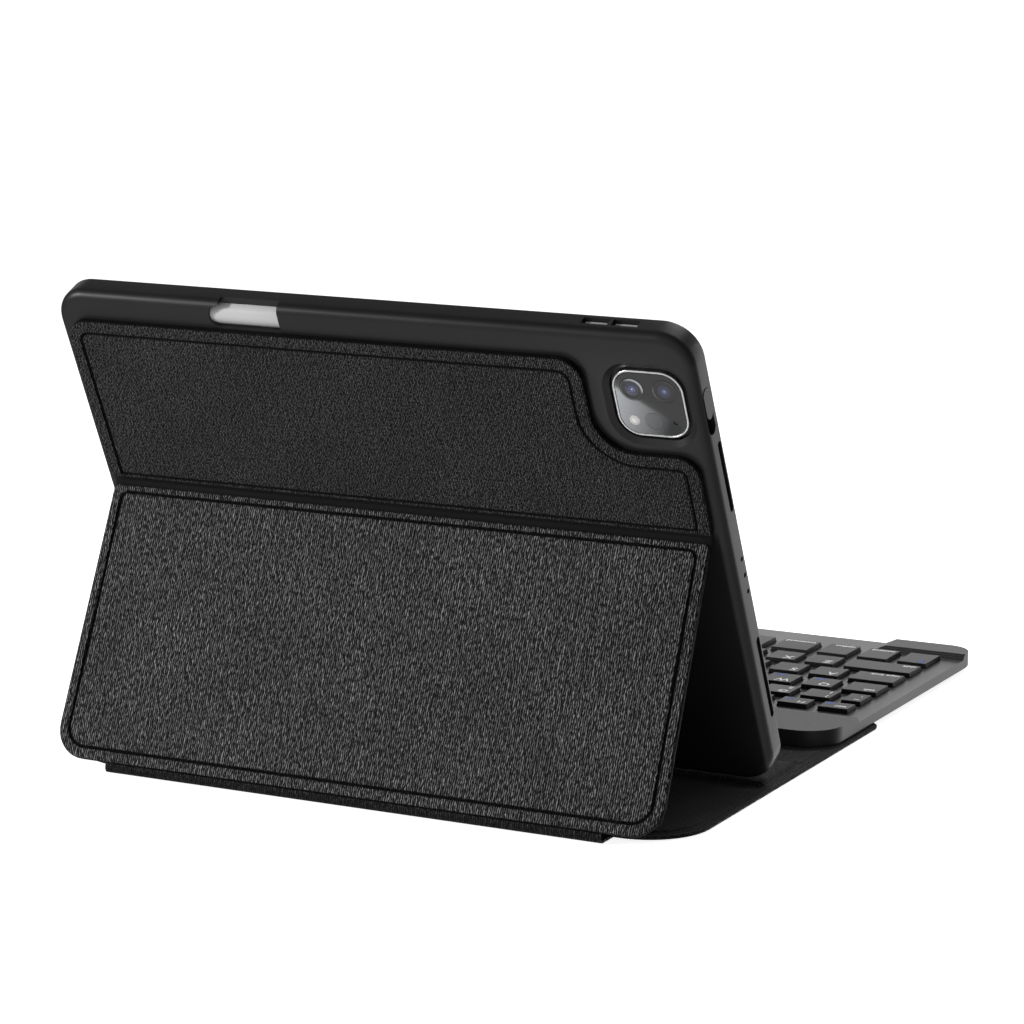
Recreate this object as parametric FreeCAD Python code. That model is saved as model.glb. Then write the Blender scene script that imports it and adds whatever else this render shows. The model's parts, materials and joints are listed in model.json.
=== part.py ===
"""Folio keyboard case for a tablet, standing open as an A-frame.

The tablet, its stylus and the keyboard are in place.

Millimetres. +X is the user's right, -Y is towards the user, +Z is up.
The origin is the middle of the whole footprint, on the surface that the case stands on.
"""

import FreeCAD
import Part
import math
import os

from FreeCAD import Vector

# ---- Overall -------------------------------------------------------------------------------------
DEPTH = 304.0  # keyboard front edge to the rear of the stand flap
REAR_Y = DEPTH / 2
FRONT_Y = -DEPTH / 2

# ---- Tablet and stylus ---------------------------------------------------------------------------
TABLET_WIDTH = 247.6
TABLET_HEIGHT = 178.5
TABLET_THICK = 5.9
TABLET_CORNER = 11.0
STYLUS_LENGTH = 166.0
STYLUS_RADIUS = 4.45
STYLUS_TIP = 14.0  # length of the writing tip
STYLUS_POINT = 1.0  # radius of its rounded point

# ---- Shell: a tray that leans back, bottom edge on the base --------------------------------------
SHELL_WIDTH = 256.0
SHELL_HEIGHT = 192.0
SHELL_THICK = 10.5
SHELL_CORNER = 13.0
SHELL_REAR_FILLET = 3.6
SHELL_FRONT_FILLET = 1.2
SHELL_BACK = 2.4  # thickness of its back wall
SHELL_LEAN = 24.85  # degrees back from upright
SHELL_FOOT_Y = REAR_Y - 91.4  # rear bottom edge, before rounding
SHELL_FOOT_Z = 2.2
BOTTOM_WALL = 1.6
FIT_GAP = 0.15  # play round the tablet
TABLET_LOW = BOTTOM_WALL + FIT_GAP
TABLET_TOP = TABLET_LOW + TABLET_HEIGHT
TABLET_BACK = -SHELL_BACK - 0.1
STYLUS_HEIGHT = TABLET_TOP + 0.3 + STYLUS_RADIUS
STYLUS_DEPTH = -5.5
CAMERA_X = -108.5
CAMERA_HEIGHT = 163.2
CAMERA_SIZE = 26.8
CAMERA_CORNER = 8.0
WINDOW_GAP = 1.2  # free space round the camera module
WINDOW_FLARE = 3.4
WINDOW_FLARE_DEEP = 1.3

# ---- Leather panel and stand flap ----------------------------------------------------------------
CREASE_HEIGHT = 109.8  # up the shell's back
PANEL_THICK = 2.6
PANEL_TOP = 181.0
LEATHER = 1.0
LINING = 0.6
FLAP_LEAN = 24.2  # degrees forward from upright
FLAP_LENGTH = 105.4
FLAP_TOP_WIDTH = 245.2
FLAP_LOW_WIDTH = 248.4
FLAP_THICK = 2.6
HEM = 4.5  # leather band below the flap's lower groove

# ---- Base ----------------------------------------------------------------------------------------
BASE_WIDTH = 255.0
BASE_REAR_Y = REAR_Y - 10.7
BASE_FRONT_Y = REAR_Y - 196.4
BASE_REAR_CORNER = 24.0
BASE_FRONT_CORNER = 7.0
BASE_LEATHER = 0.8
MARGIN = 5.0  # leather and lining round the boards
REAR_BOARD = (REAR_Y - 82.0, REAR_Y - 16.0)
STRIP = (REAR_Y - 121.5, REAR_Y - 90.5)
FRONT_BOARD = (REAR_Y - 191.4, REAR_Y - 126.0)
REAR_TOP = 2.0
STRIP_TOP = 3.0
FRONT_TOP = 1.7
LINING_THICK = 0.5
SPINE_WIDTH = 203.0
MAGNET_X = (-96.0, -32.0, 32.0, 96.0)

# ---- Keyboard ------------------------------------------------------------------------------------
KEYBOARD_WIDTH = 252.0
KEYBOARD_REAR_Y = FRONT_Y + 158.9
KEYBOARD_LOW = 1.9
BOTTOM_PLATE = 0.7
WALL = 1.6
DECK_TOP = 6.0
DECK_THICK = 1.2
RIDGE_TOP = 8.4
RIDGE_DEPTH = 29.0
RIDGE_SLOPE = 2.6
REAR_CORNER = 15.0
FRONT_CORNER = 11.0
PAD_INNER_X = 85.0
PAD_DEPTH = 13.0
PAD_TOP = 8.2
PAD_SLOPE = 2.5
PAD_END_SLOPE = 6.0
KEY_TOP = DECK_TOP + 1.8
KEY_TRAVEL = 1.2
KEY_CLEAR = 0.35
KEY_GAP = 3.9
KEYS_LEFT = -117.5
KEYS_RIGHT = 117.5
KEY_INSET = 0.2  # play of each key inside its pitch
KEY_TAPER = 0.3
SHEET_LOW = 2.9
SHEET_TOP = 3.2
MAGNET_Y = KEYBOARD_REAR_Y - 32.4  # between the switch sheet and the battery
MAGNET_HALF = (8.0, 3.5)
LIGHT_X = (94.0, 100.0, 106.0)
LIGHT_Y = KEYBOARD_REAR_Y - 22
LIGHT_RADIUS = 0.75


# ---- Shapes --------------------------------------------------------------------------------------
def outline(corners):
    """A closed wire in the XY plane through (x, y, radius) corners, each rounded by its radius."""
    points = [Vector(x, y, 0) for x, y, _ in corners]
    edges = []
    ends = []
    for i, (_, _, radius) in enumerate(corners):
        here = points[i]
        back = (points[i - 1] - here).normalize()
        ahead = (points[(i + 1) % len(points)] - here).normalize()
        half = back.getAngle(ahead) / 2
        if radius == 0:
            ends.append((here, here))
            continue
        reach = radius / math.tan(half)
        start = here + back * reach
        finish = here + ahead * reach
        middle_way = (back + ahead).normalize()
        middle = here + middle_way * (radius / math.sin(half) - radius)
        edges.append(Part.Arc(start, middle, finish).toShape())
        ends.append((start, finish))
    for i, (_, leave) in enumerate(ends):
        arrive = ends[(i + 1) % len(ends)][0]
        if (arrive - leave).Length > 1e-6:
            edges.append(Part.LineSegment(leave, arrive).toShape())
    return Part.Wire(Part.sortEdges(edges)[0])


def plate(corners, low, high):
    """A flat plate with that outline, from z = low to z = high."""
    face = Part.Face(outline(corners))
    face.translate(Vector(0, 0, low))
    return face.extrude(Vector(0, 0, high - low))


def rectangle(x0, x1, y0, y1, radius=0.0):
    return [(x0, y0, radius), (x1, y0, radius), (x1, y1, radius), (x0, y1, radius)]


def upright(shape):
    """Stand a flat shape up: its y becomes height and its z becomes depth towards the front."""
    turned = shape.copy()
    turned.rotate(Vector(0, 0, 0), Vector(1, 0, 0), 90)
    return turned


def upright_plate(corners, front, rear):
    """A plate in the plane of (x, height), between two depths, where more is further back."""
    return upright(plate(corners, -rear, -front))


def box(x0, x1, y0, y1, z0, z1):
    return Part.makeBox(x1 - x0, y1 - y0, z1 - z0, Vector(x0, y0, z0))


def cylinder(radius, start, finish):
    way = finish - start
    return Part.makeCylinder(radius, way.Length, start, way)


def on_shell(shape):
    """Carry a shape from the shell's own frame (x, depth, height) to where the shell leans."""
    placed = shape.copy()
    placed.rotate(Vector(0, 0, 0), Vector(1, 0, 0), -SHELL_LEAN)
    placed.translate(Vector(0, SHELL_FOOT_Y, SHELL_FOOT_Z))
    return placed


def shell_point(depth, height):
    lean = math.radians(SHELL_LEAN)
    y = SHELL_FOOT_Y + height * math.sin(lean) + depth * math.cos(lean)
    z = SHELL_FOOT_Z + height * math.cos(lean) - depth * math.sin(lean)
    return y, z


CREASE_Y, CREASE_Z = shell_point(PANEL_THICK, CREASE_HEIGHT)


def on_flap(shape):
    """Carry a shape from the flap's frame (x, depth, height above the crease) to its place."""
    placed = shape.copy()
    placed.rotate(Vector(0, 0, 0), Vector(1, 0, 0), FLAP_LEAN)
    placed.translate(Vector(0, CREASE_Y, CREASE_Z))
    return placed


def edges_between(shape, low, high, axis="Z"):
    """The edges that lie wholly between two levels along an axis."""
    found = []
    for edge in shape.Edges:
        bounds = edge.BoundBox
        least = getattr(bounds, axis + "Min")
        most = getattr(bounds, axis + "Max")
        if least >= low - 1e-4 and most <= high + 1e-4:
            found.append(edge)
    return found


def softened(shape, radius, low, high, axis="Z"):
    """Round the edges that lie between two levels."""
    return shape.makeFillet(radius, edges_between(shape, low, high, axis))


def group(shapes):
    return Part.makeCompound(shapes)


# ---- Base: leather below, boards, lining above ---------------------------------------------------
def base_leather():
    half = BASE_WIDTH / 2
    corners = [
        (-half, BASE_FRONT_Y, BASE_FRONT_CORNER),
        (half, BASE_FRONT_Y, BASE_FRONT_CORNER),
        (half, BASE_REAR_Y, BASE_REAR_CORNER),
        (-half, BASE_REAR_Y, BASE_REAR_CORNER),
    ]
    return plate(corners, 0, BASE_LEATHER)


def board_corners(span, inset=0.0):
    """The outline of one base board: the rear board has the base's large rear corners."""
    half = BASE_WIDTH / 2 - MARGIN + inset
    rear = BASE_REAR_CORNER - MARGIN if span is REAR_BOARD else 2.0
    front = BASE_FRONT_CORNER if span is FRONT_BOARD else 2.0
    y0 = span[0] - inset
    y1 = span[1] + inset
    return [(-half, y0, front), (half, y0, front), (half, y1, rear), (-half, y1, rear)]


def base_board(span, top):
    return plate(board_corners(span), BASE_LEATHER, top - LINING_THICK)


def base_lining():
    """A thin lining over the whole base, raised over each board."""
    half = BASE_WIDTH / 2
    corners = [
        (-half, BASE_FRONT_Y, BASE_FRONT_CORNER),
        (half, BASE_FRONT_Y, BASE_FRONT_CORNER),
        (half, BASE_REAR_Y, BASE_REAR_CORNER),
        (-half, BASE_REAR_Y, BASE_REAR_CORNER),
    ]
    lining = plate(corners, BASE_LEATHER, BASE_LEATHER + LINING_THICK)
    for span, top in ((REAR_BOARD, REAR_TOP), (STRIP, STRIP_TOP), (FRONT_BOARD, FRONT_TOP)):
        lining = lining.fuse(plate(board_corners(span, LINING_THICK), BASE_LEATHER, top))
    for span, top in ((REAR_BOARD, REAR_TOP), (STRIP, STRIP_TOP), (FRONT_BOARD, FRONT_TOP)):
        lining = lining.cut(base_board(span, top))
    return lining.removeSplitter()


def strip_magnets():
    """Bar magnets let into the strip that the shell's foot stands on."""
    middle = (STRIP[0] + STRIP[1]) / 2
    bars = []
    for x in MAGNET_X:
        for y in (middle - 7, middle + 7):
            bars.append(box(x - 15, x + 15, y - 3, y + 3, 1.1, 2.2))
    return group(bars)


def magnet_row(low, high):
    """The thin magnets, in the board and in the keyboard above it, that hold the two together."""
    long, short = MAGNET_HALF
    bars = [box(x - long, x + long, MAGNET_Y - short, MAGNET_Y + short, low, high) for x in MAGNET_X]
    return group(bars)


def base_magnets():
    return magnet_row(BASE_LEATHER + 0.05, FRONT_TOP - LINING_THICK - 0.05)


def spine_strip():
    """The cover's spine: flat behind the base, then turned up towards the flap's hem."""
    half = SPINE_WIDTH / 2
    flat = box(-half, half, BASE_REAR_Y, HEM_HINGE_Y + 0.5, 0, BASE_LEATHER)
    turned_up = box(-half, half, HEM_HINGE_Y - 0.5, HEM_HINGE_Y + 0.5, 0, HEM_HINGE_Z - 1.2)
    return flat.fuse(turned_up).removeSplitter()


# ---- Flap ----------------------------------------------------------------------------------------
def flap_corners(top, low, inset, corner):
    """Part of the flap's slightly tapered outline, between two distances below the crease."""

    def half_width(below):
        share = below / FLAP_LENGTH
        return (FLAP_TOP_WIDTH + (FLAP_LOW_WIDTH - FLAP_TOP_WIDTH) * share) / 2 - inset

    return [
        (-half_width(low), -low, corner),
        (half_width(low), -low, corner),
        (half_width(top), -top, 0),
        (-half_width(top), -top, 0),
    ]


GROOVE_BELOW = FLAP_LENGTH - HEM
FLAP_CORNER = 4.0


def flap_leather():
    corners = flap_corners(0.6, GROOVE_BELOW - 0.3, 0, 0)
    return on_flap(upright_plate(corners, -LEATHER, 0))


def flap_board():
    corners = flap_corners(5, GROOVE_BELOW - 1.5, 4.5, 3)
    return on_flap(upright_plate(corners, LINING - FLAP_THICK, -LEATHER))


def flap_lining():
    corners = flap_corners(3, GROOVE_BELOW - 0.3, 0.8, 0)
    return on_flap(upright_plate(corners, -FLAP_THICK, LINING - FLAP_THICK))


def flap_hem():
    """The flexible leather band along the flap's lower edge, below the groove that it folds on."""
    corners = flap_corners(GROOVE_BELOW + 0.3, FLAP_LENGTH, 0, FLAP_CORNER)
    return on_flap(upright_plate(corners, -FLAP_THICK, 0))


def flap_point(depth, below):
    lean = math.radians(FLAP_LEAN)
    y = CREASE_Y + below * math.sin(lean) + depth * math.cos(lean)
    z = CREASE_Z - below * math.cos(lean) + depth * math.sin(lean)
    return y, z


GROOVE_HINGE_Y, GROOVE_HINGE_Z = flap_point(-FLAP_THICK / 2, GROOVE_BELOW)
HEM_HINGE_Y, HEM_HINGE_Z = flap_point(-FLAP_THICK / 2, FLAP_LENGTH)


# ---- Panel on the shell's back -------------------------------------------------------------------
def panel_corners(inset):
    """The panel's outline, with a notch round the camera window."""
    side = 123.6 - inset
    low = CREASE_HEIGHT + 0.6 + inset
    top = PANEL_TOP - inset
    notch_x = CAMERA_X + 22.6 + inset
    notch_low = CAMERA_HEIGHT - 19.6 - inset
    return [
        (-side, low, 0),
        (side, low, 0),
        (side, top, 9 - inset),
        (notch_x, top, 9 - inset),
        (notch_x, notch_low, 15 + inset),
        (-side, notch_low, 8 - inset),
    ]


def panel_board():
    return on_shell(upright_plate(panel_corners(4), 0.05, PANEL_THICK - LEATHER))


def panel_leather():
    """Leather over the board, turned down to the shell round the board's edge."""
    outer = upright_plate(panel_corners(0), 0.05, PANEL_THICK)
    return on_shell(outer.cut(upright_plate(panel_corners(4), 0, PANEL_THICK - LEATHER)))


# ---- Shell ---------------------------------------------------------------------------------------
def shell_body():
    half = SHELL_WIDTH / 2
    body = upright_plate(rectangle(-half, half, 0, SHELL_HEIGHT, SHELL_CORNER), -SHELL_THICK, 0)
    body = softened(body, SHELL_REAR_FILLET, -0.01, 0.01, "Y")
    return softened(body, SHELL_FRONT_FILLET, -SHELL_THICK - 0.01, -SHELL_THICK + 0.01, "Y")


def tablet_pocket():
    half = TABLET_WIDTH / 2 + FIT_GAP
    corners = rectangle(-half, half, BOTTOM_WALL, TABLET_TOP + FIT_GAP, TABLET_CORNER)
    return upright_plate(corners, -SHELL_THICK - 1, -SHELL_BACK)


def stylus_bay():
    """A trough along the top of the pocket, open to the front."""
    half = STYLUS_LENGTH / 2 + 1.5
    radius = STYLUS_RADIUS + 0.2
    start = Vector(-half, STYLUS_DEPTH, STYLUS_HEIGHT)
    tube = cylinder(radius, start, start + Vector(2 * half, 0, 0))
    low = STYLUS_HEIGHT - radius
    mouth = box(-half, half, -SHELL_THICK - 1, STYLUS_DEPTH, low, STYLUS_HEIGHT + radius)
    return tube.fuse(mouth)


STYLUS_WINDOW = (32.5, 61.5)
WINDOW_RADIUS = 4.6  # its rounded end
WINDOW_DEEP = 4.2


def stylus_window():
    """The opening in the top rear edge where a finger pushes the stylus out."""
    x0, x1 = STYLUS_WINDOW
    turn = x1 - WINDOW_RADIUS
    low = STYLUS_HEIGHT + 1 - WINDOW_RADIUS
    straight = box(x0, turn, -WINDOW_DEEP, 1, low, SHELL_HEIGHT + 1)
    start = Vector(turn, 1, STYLUS_HEIGHT + 1)
    rounded = cylinder(WINDOW_RADIUS, start, start - Vector(0, WINDOW_DEEP + 1, 0))
    return straight.fuse(rounded)


def camera_corners(inset):
    """The camera module's rounded square, inset or spread."""
    half = CAMERA_SIZE / 2 - inset
    x0, x1 = CAMERA_X - half, CAMERA_X + half
    return rectangle(x0, x1, CAMERA_HEIGHT - half, CAMERA_HEIGHT + half, CAMERA_CORNER - inset)


def camera_window():
    """The camera opening: a straight throat round the module, then a wall flared towards the back."""
    throat = upright_plate(camera_corners(-WINDOW_GAP), -SHELL_BACK - 1, 0)
    wires = []
    for spread, depth in ((WINDOW_GAP, -WINDOW_FLARE_DEEP), (WINDOW_FLARE, 0.05)):
        wire = outline(camera_corners(-spread))
        wire.translate(Vector(0, 0, -depth))
        wires.append(wire)
    return throat.fuse(upright(Part.makeLoft(wires, True, True)))


def side_slot(side, low, high, depth, width):
    """A round-ended slot through the left (-1) or right (+1) wall."""
    inner = side * (TABLET_WIDTH / 2 - 0.5)
    outer = side * (SHELL_WIDTH / 2 + 1)
    radius = width / 2
    x0, x1 = min(inner, outer), max(inner, outer)
    slot = box(x0, x1, depth - radius, depth + radius, low + radius, high - radius)
    for height in (low + radius, high - radius):
        slot = slot.fuse(cylinder(radius, Vector(x0, depth, height), Vector(x1, depth, height)))
    return slot


SOUND_SLOTS = ((25.8, 61.3), (116.0, 145.2))
SOUND_DEPTH = -7.7
SOUND_WIDTH = 2.6
MICROPHONE_HEIGHTS = (81.7, 88.7, 95.6)
PORT_HEIGHT = 91.0
PORT_SIZE = (14.0, 6.6)
PORT_DEPTH = -5.4
POWER_RECESS = (150.0, 168.5)
POWER_WIDTH = 5.2
POWER_DEPTH = -5.2
VOLUME_SPANS = ((-96.0, -86.0), (-107.4, -97.4))
VOLUME_DEPTH = -6.3
VOLUME_WIDTH = 3.6
MICROPHONE_WIDTH = 1.88


def shell_cuts():
    """Every opening in the shell's walls."""
    cuts = [camera_window(), stylus_window()]
    for side in (-1, 1):
        for low, high in SOUND_SLOTS:
            cuts.append(side_slot(side, low, high, SOUND_DEPTH, SOUND_WIDTH))
    for height in MICROPHONE_HEIGHTS:
        cuts.append(side_slot(-1, height - 0.95, height + 0.95, SOUND_DEPTH, MICROPHONE_WIDTH))
    length, width = PORT_SIZE
    cuts.append(side_slot(1, PORT_HEIGHT - length / 2, PORT_HEIGHT + length / 2, PORT_DEPTH, width))
    cuts.append(side_slot(-1, POWER_RECESS[0], POWER_RECESS[1], POWER_DEPTH, POWER_WIDTH))
    for x0, x1 in VOLUME_SPANS:
        half = VOLUME_WIDTH / 2
        slot = box(x0, x1, VOLUME_DEPTH - half, VOLUME_DEPTH + half, TABLET_TOP - 1, SHELL_HEIGHT + 1)
        cuts.append(slot)
    return cuts


def shell():
    body = shell_body().cut(tablet_pocket()).cut(stylus_bay())
    return on_shell(body.cut(shell_cuts()).removeSplitter())


def shell_magnets():
    """Bar magnets in the shell's lower edge, which grip those in the strip."""
    bars = []
    for x in MAGNET_X:
        bars.append(box(x - 12, x + 12, -8.0, -4.0, 0.5, 1.5))
    return group([on_shell(bar) for bar in bars])


def power_button():
    """A pill in the wall recess that reaches the tablet's edge."""
    clear = 0.25
    low = POWER_RECESS[0] + 6.4
    high = POWER_RECESS[1] - clear
    radius = POWER_WIDTH / 2 - clear
    x0 = -SHELL_WIDTH / 2 - 0.2
    x1 = x0 + 2.6
    pill = box(x0, x1, POWER_DEPTH - radius, POWER_DEPTH + radius, low + radius, high - radius)
    for height in (low + radius, high - radius):
        pill = pill.fuse(cylinder(radius, Vector(x0, POWER_DEPTH, height), Vector(x1, POWER_DEPTH, height)))
    return on_shell(pill.removeSplitter())


def volume_button(span):
    """A metal plunger in its slot, a little below the shell's top face."""
    clear = 0.3
    half = VOLUME_WIDTH / 2 - clear
    x0, x1 = span[0] + clear, span[1] - clear
    low = TABLET_TOP + 1.0
    return on_shell(box(x0, x1, VOLUME_DEPTH - half, VOLUME_DEPTH + half, low, SHELL_HEIGHT - 1.5))


# ---- Tablet --------------------------------------------------------------------------------------
GLASS = 0.7
BEZEL_STEP = 0.5
TABLET_WALL = 1.5
TABLET_PLATE = 1.0
PLUG = (9.0, 3.2)


def tablet_inside(inset, front, rear):
    """A plate inside the tablet's walls, between two depths."""
    half = TABLET_WIDTH / 2 - TABLET_WALL - inset
    low = TABLET_LOW + TABLET_WALL + inset
    high = TABLET_TOP - TABLET_WALL - inset
    return upright_plate(rectangle(-half, half, low, high, TABLET_CORNER - TABLET_WALL), front, rear)


def glass_corners():
    """The outline of the display glass, let into the housing."""
    half = TABLET_WIDTH / 2 - BEZEL_STEP
    low = TABLET_LOW + BEZEL_STEP
    return rectangle(-half, half, low, TABLET_TOP - BEZEL_STEP, TABLET_CORNER - 1)


def tablet_housing():
    """The metal tray, open towards the display and bored for the charging plug."""
    half = TABLET_WIDTH / 2
    corners = rectangle(-half, half, TABLET_LOW, TABLET_TOP, TABLET_CORNER - FIT_GAP)
    front = TABLET_BACK - TABLET_THICK
    body = upright_plate(corners, front, TABLET_BACK)
    recess = upright_plate(glass_corners(), front - 1, front + GLASS)
    inside = tablet_inside(0, front, TABLET_BACK - TABLET_PLATE)
    half_plug = PLUG[0] / 2
    port = side_slot(1, PORT_HEIGHT - half_plug, PORT_HEIGHT + half_plug, PORT_DEPTH, PLUG[1])
    port.translate(Vector(-2, 0, 0))
    return on_shell(body.cut([recess, inside, port]))


INSIDE_FRONT = TABLET_BACK - TABLET_THICK + GLASS + 0.3
INSIDE_REAR = TABLET_BACK - TABLET_PLATE - 0.1


def tablet_battery():
    """Two flat cells side by side, with the main board between them."""
    whole = tablet_inside(6, INSIDE_FRONT, INSIDE_REAR)
    gap = box(-22, 22, -SHELL_THICK, 0, 0, SHELL_HEIGHT)
    return on_shell(whole.cut(gap))


def tablet_board():
    board = tablet_inside(10, INSIDE_FRONT + 1.0, INSIDE_FRONT + 2.0)
    strip = box(-20, 20, -SHELL_THICK, 0, 0, SHELL_HEIGHT)
    return on_shell(board.common(strip))


def display_glass():
    front = TABLET_BACK - TABLET_THICK
    return on_shell(upright_plate(glass_corners(), front, front + GLASS))


CAMERA_FACE = -0.7
RING_WIDTH = 0.9


def camera_ring():
    outer = upright_plate(camera_corners(0), TABLET_BACK, CAMERA_FACE)
    inner = upright_plate(camera_corners(RING_WIDTH), TABLET_BACK + 0.5, CAMERA_FACE + 1)
    return on_shell(outer.cut(inner))


def camera_spot(x, height, radius, front, rear):
    return cylinder(radius, Vector(x, front, height), Vector(x, rear, height))


LENS_PLACES = ((CAMERA_X + 5.9, CAMERA_HEIGHT + 5.7), (CAMERA_X - 6.3, CAMERA_HEIGHT + 5.7))
FLASH_PLACE = (CAMERA_X + 7.2, CAMERA_HEIGHT - 7.2)
SCANNER_PLACE = (CAMERA_X - 0.3, CAMERA_HEIGHT - 7.0)
MICROPHONE_PLACE = (CAMERA_X - 8.4, CAMERA_HEIGHT - 6.8)
LENS_RADIUS = 4.6
FLASH_RADIUS = 2.0
SCANNER_RADIUS = 3.6
MICROPHONE_RADIUS = 0.9
GLASS_DEEP = 0.6


def camera_glass():
    """The dark window inside the ring, bored for the flash and the microphone."""
    glass = upright_plate(camera_corners(RING_WIDTH + 0.05), CAMERA_FACE - GLASS_DEEP, CAMERA_FACE - 0.1)
    holes = [camera_spot(x, h, LENS_RADIUS, -3, 1) for x, h in LENS_PLACES]
    holes.append(camera_spot(*FLASH_PLACE, FLASH_RADIUS, -3, 1))
    holes.append(camera_spot(*MICROPHONE_PLACE, MICROPHONE_RADIUS, -3, 1))
    return on_shell(glass.cut(holes))


def camera_lenses():
    radius = LENS_RADIUS - 0.05
    lenses = []
    for x, height in LENS_PLACES:
        lens = camera_spot(x, height, radius, TABLET_BACK + 0.5, CAMERA_FACE + 0.1)
        lenses.append(on_shell(lens))
    return group(lenses)


def flash_lens():
    radius = FLASH_RADIUS - 0.05
    return on_shell(camera_spot(*FLASH_PLACE, radius, TABLET_BACK + 0.5, CAMERA_FACE - 0.05))


# ---- Stylus --------------------------------------------------------------------------------------
def stylus_barrel():
    half = STYLUS_LENGTH / 2
    start = Vector(half, STYLUS_DEPTH, STYLUS_HEIGHT)
    finish = Vector(-half + STYLUS_TIP, STYLUS_DEPTH, STYLUS_HEIGHT)
    barrel = cylinder(STYLUS_RADIUS, start, finish)
    return on_shell(softened(barrel, 2.2, half - 0.01, half + 0.01, "X"))


def stylus_tip():
    half = STYLUS_LENGTH / 2
    start = Vector(-half + STYLUS_TIP, STYLUS_DEPTH, STYLUS_HEIGHT)
    length = STYLUS_TIP - STYLUS_POINT
    cone = Part.makeCone(STYLUS_RADIUS, STYLUS_POINT, length, start, Vector(-1, 0, 0))
    point = Part.makeSphere(STYLUS_POINT, start - Vector(length, 0, 0))
    return on_shell(cone.fuse(point).removeSplitter())


# ---- Keyboard ------------------------------------------------------------------------------------
RIDGE_FRONT_Y = KEYBOARD_REAR_Y - RIDGE_DEPTH


def keyboard_corners(inset):
    half = KEYBOARD_WIDTH / 2 - inset
    y0 = FRONT_Y + inset
    y1 = KEYBOARD_REAR_Y - inset
    front = FRONT_CORNER - inset
    rear = REAR_CORNER - inset
    return [(-half, y0, front), (half, y0, front), (half, y1, rear), (-half, y1, rear)]


def sloped_block(x0, x1, y0, y1, low, high, slopes):
    """A block whose sides lean in by slopes = (left, right, front, rear) from bottom to top."""
    left, right, front, rear = slopes
    bottom = [Vector(x0, y0, low), Vector(x1, y0, low), Vector(x1, y1, low), Vector(x0, y1, low)]
    top = [
        Vector(x0 + left, y0 + front, high),
        Vector(x1 - right, y0 + front, high),
        Vector(x1 - right, y1 - rear, high),
        Vector(x0 + left, y1 - rear, high),
    ]
    wires = [Part.makePolygon(ring + [ring[0]]) for ring in (bottom, top)]
    return Part.makeLoft(wires, True, True)


def raised_parts():
    """The rear ridge and the two front corner pads, before they are trimmed to the outline."""
    half = KEYBOARD_WIDTH / 2
    rear = KEYBOARD_REAR_Y
    ridge = sloped_block(
        -half, half, RIDGE_FRONT_Y - RIDGE_SLOPE, rear, DECK_TOP - 0.5, RIDGE_TOP, (0, 0, RIDGE_SLOPE, 0)
    )
    parts = [ridge]
    for side in (-1, 1):
        x0, x1 = sorted((side * PAD_INNER_X, side * half))
        slopes = (PAD_END_SLOPE, 0, 0, PAD_SLOPE) if side > 0 else (0, PAD_END_SLOPE, 0, PAD_SLOPE)
        pad_rear = FRONT_Y + PAD_DEPTH + PAD_SLOPE
        parts.append(sloped_block(x0, x1, FRONT_Y, pad_rear, DECK_TOP - 0.5, PAD_TOP, slopes))
    trim = plate(keyboard_corners(0), 0, 20)
    return [part.common(trim) for part in parts]


ROWS = (
    ("function", FRONT_Y + 109.3, FRONT_Y + 118.6),
    ("number", FRONT_Y + 93.0, FRONT_Y + 105.3),
    ("upper", FRONT_Y + 75.0, FRONT_Y + 89.0),
    ("home", FRONT_Y + 57.0, FRONT_Y + 71.0),
    ("lower", FRONT_Y + 39.0, FRONT_Y + 53.0),
    ("space", FRONT_Y + 18.0, FRONT_Y + 35.0),
)
LETTER_WIDTH = 13.3


def letters(count):
    return [LETTER_WIDTH] * count


ROW_WIDTHS = {
    "function": [13.2] * 14,
    "number": [9.0] + letters(12) + [None],
    "upper": [15.5] + letters(12) + [None],
    "home": [20.0] + letters(11) + [None],
    "lower": [29.3] + letters(10) + [None],
    "space": [13.3, 13.7, 13.7, 16.5, None, 16.5, 13.7, 13.3, 13.3, 13.3],
}
NAMED_KEYS = {
    ("function", 0): "key_escape",
    ("function", 1): "key_f1",
    ("number", 0): "key_backquote",
    ("number", 1): "key_1",
    ("number", -1): "key_backspace",
    ("upper", 0): "key_tab",
    ("upper", 1): "key_q",
    ("home", 0): "key_caps",
    ("home", 1): "key_a",
    ("home", -1): "key_enter",
    ("lower", 0): "key_shift_left",
    ("lower", 1): "key_z",
    ("space", 0): "key_fn",
    ("space", 4): "key_space",
}


def row_keys(name):
    """(index, x0, x1) of each key in a row; an open width takes what the others leave over."""
    widths = ROW_WIDTHS[name]
    span = KEYS_RIGHT - KEYS_LEFT
    gap = KEY_GAP
    if None in widths:
        known = sum(width for width in widths if width)
        open_width = span - known - gap * (len(widths) - 1)
        widths = [width or open_width for width in widths]
    else:
        gap = (span - sum(widths)) / (len(widths) - 1)
    keys = []
    x = KEYS_LEFT
    for index, width in enumerate(widths):
        keys.append((index, x, x + width))
        x += width + gap
    return keys


def key_cap(x0, x1, y0, y1):
    """A key with a slightly smaller top face."""
    low = SHEET_TOP + KEY_TRAVEL + 0.15
    sides = (x0 + KEY_INSET, x1 - KEY_INSET, y0 + KEY_INSET, y1 - KEY_INSET)
    stem = box(*sides, low, DECK_TOP)
    cap = sloped_block(*sides, DECK_TOP, KEY_TOP, (KEY_TAPER,) * 4)
    return stem.fuse(cap).removeSplitter()


def key_nodes():
    """Every key: the named ones in their own nodes, the rest of each row together."""
    nodes = {}
    for row, y0, y1 in ROWS:
        keys = row_keys(row)
        rest = []
        for index, x0, x1 in keys:
            name = NAMED_KEYS.get((row, index)) or NAMED_KEYS.get((row, index - len(keys)))
            cap = key_cap(x0, x1, y0, y1)
            if name:
                nodes[name] = cap
            else:
                rest.append(cap)
        nodes["keys_" + row + "_row"] = group(rest)
    return nodes


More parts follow.
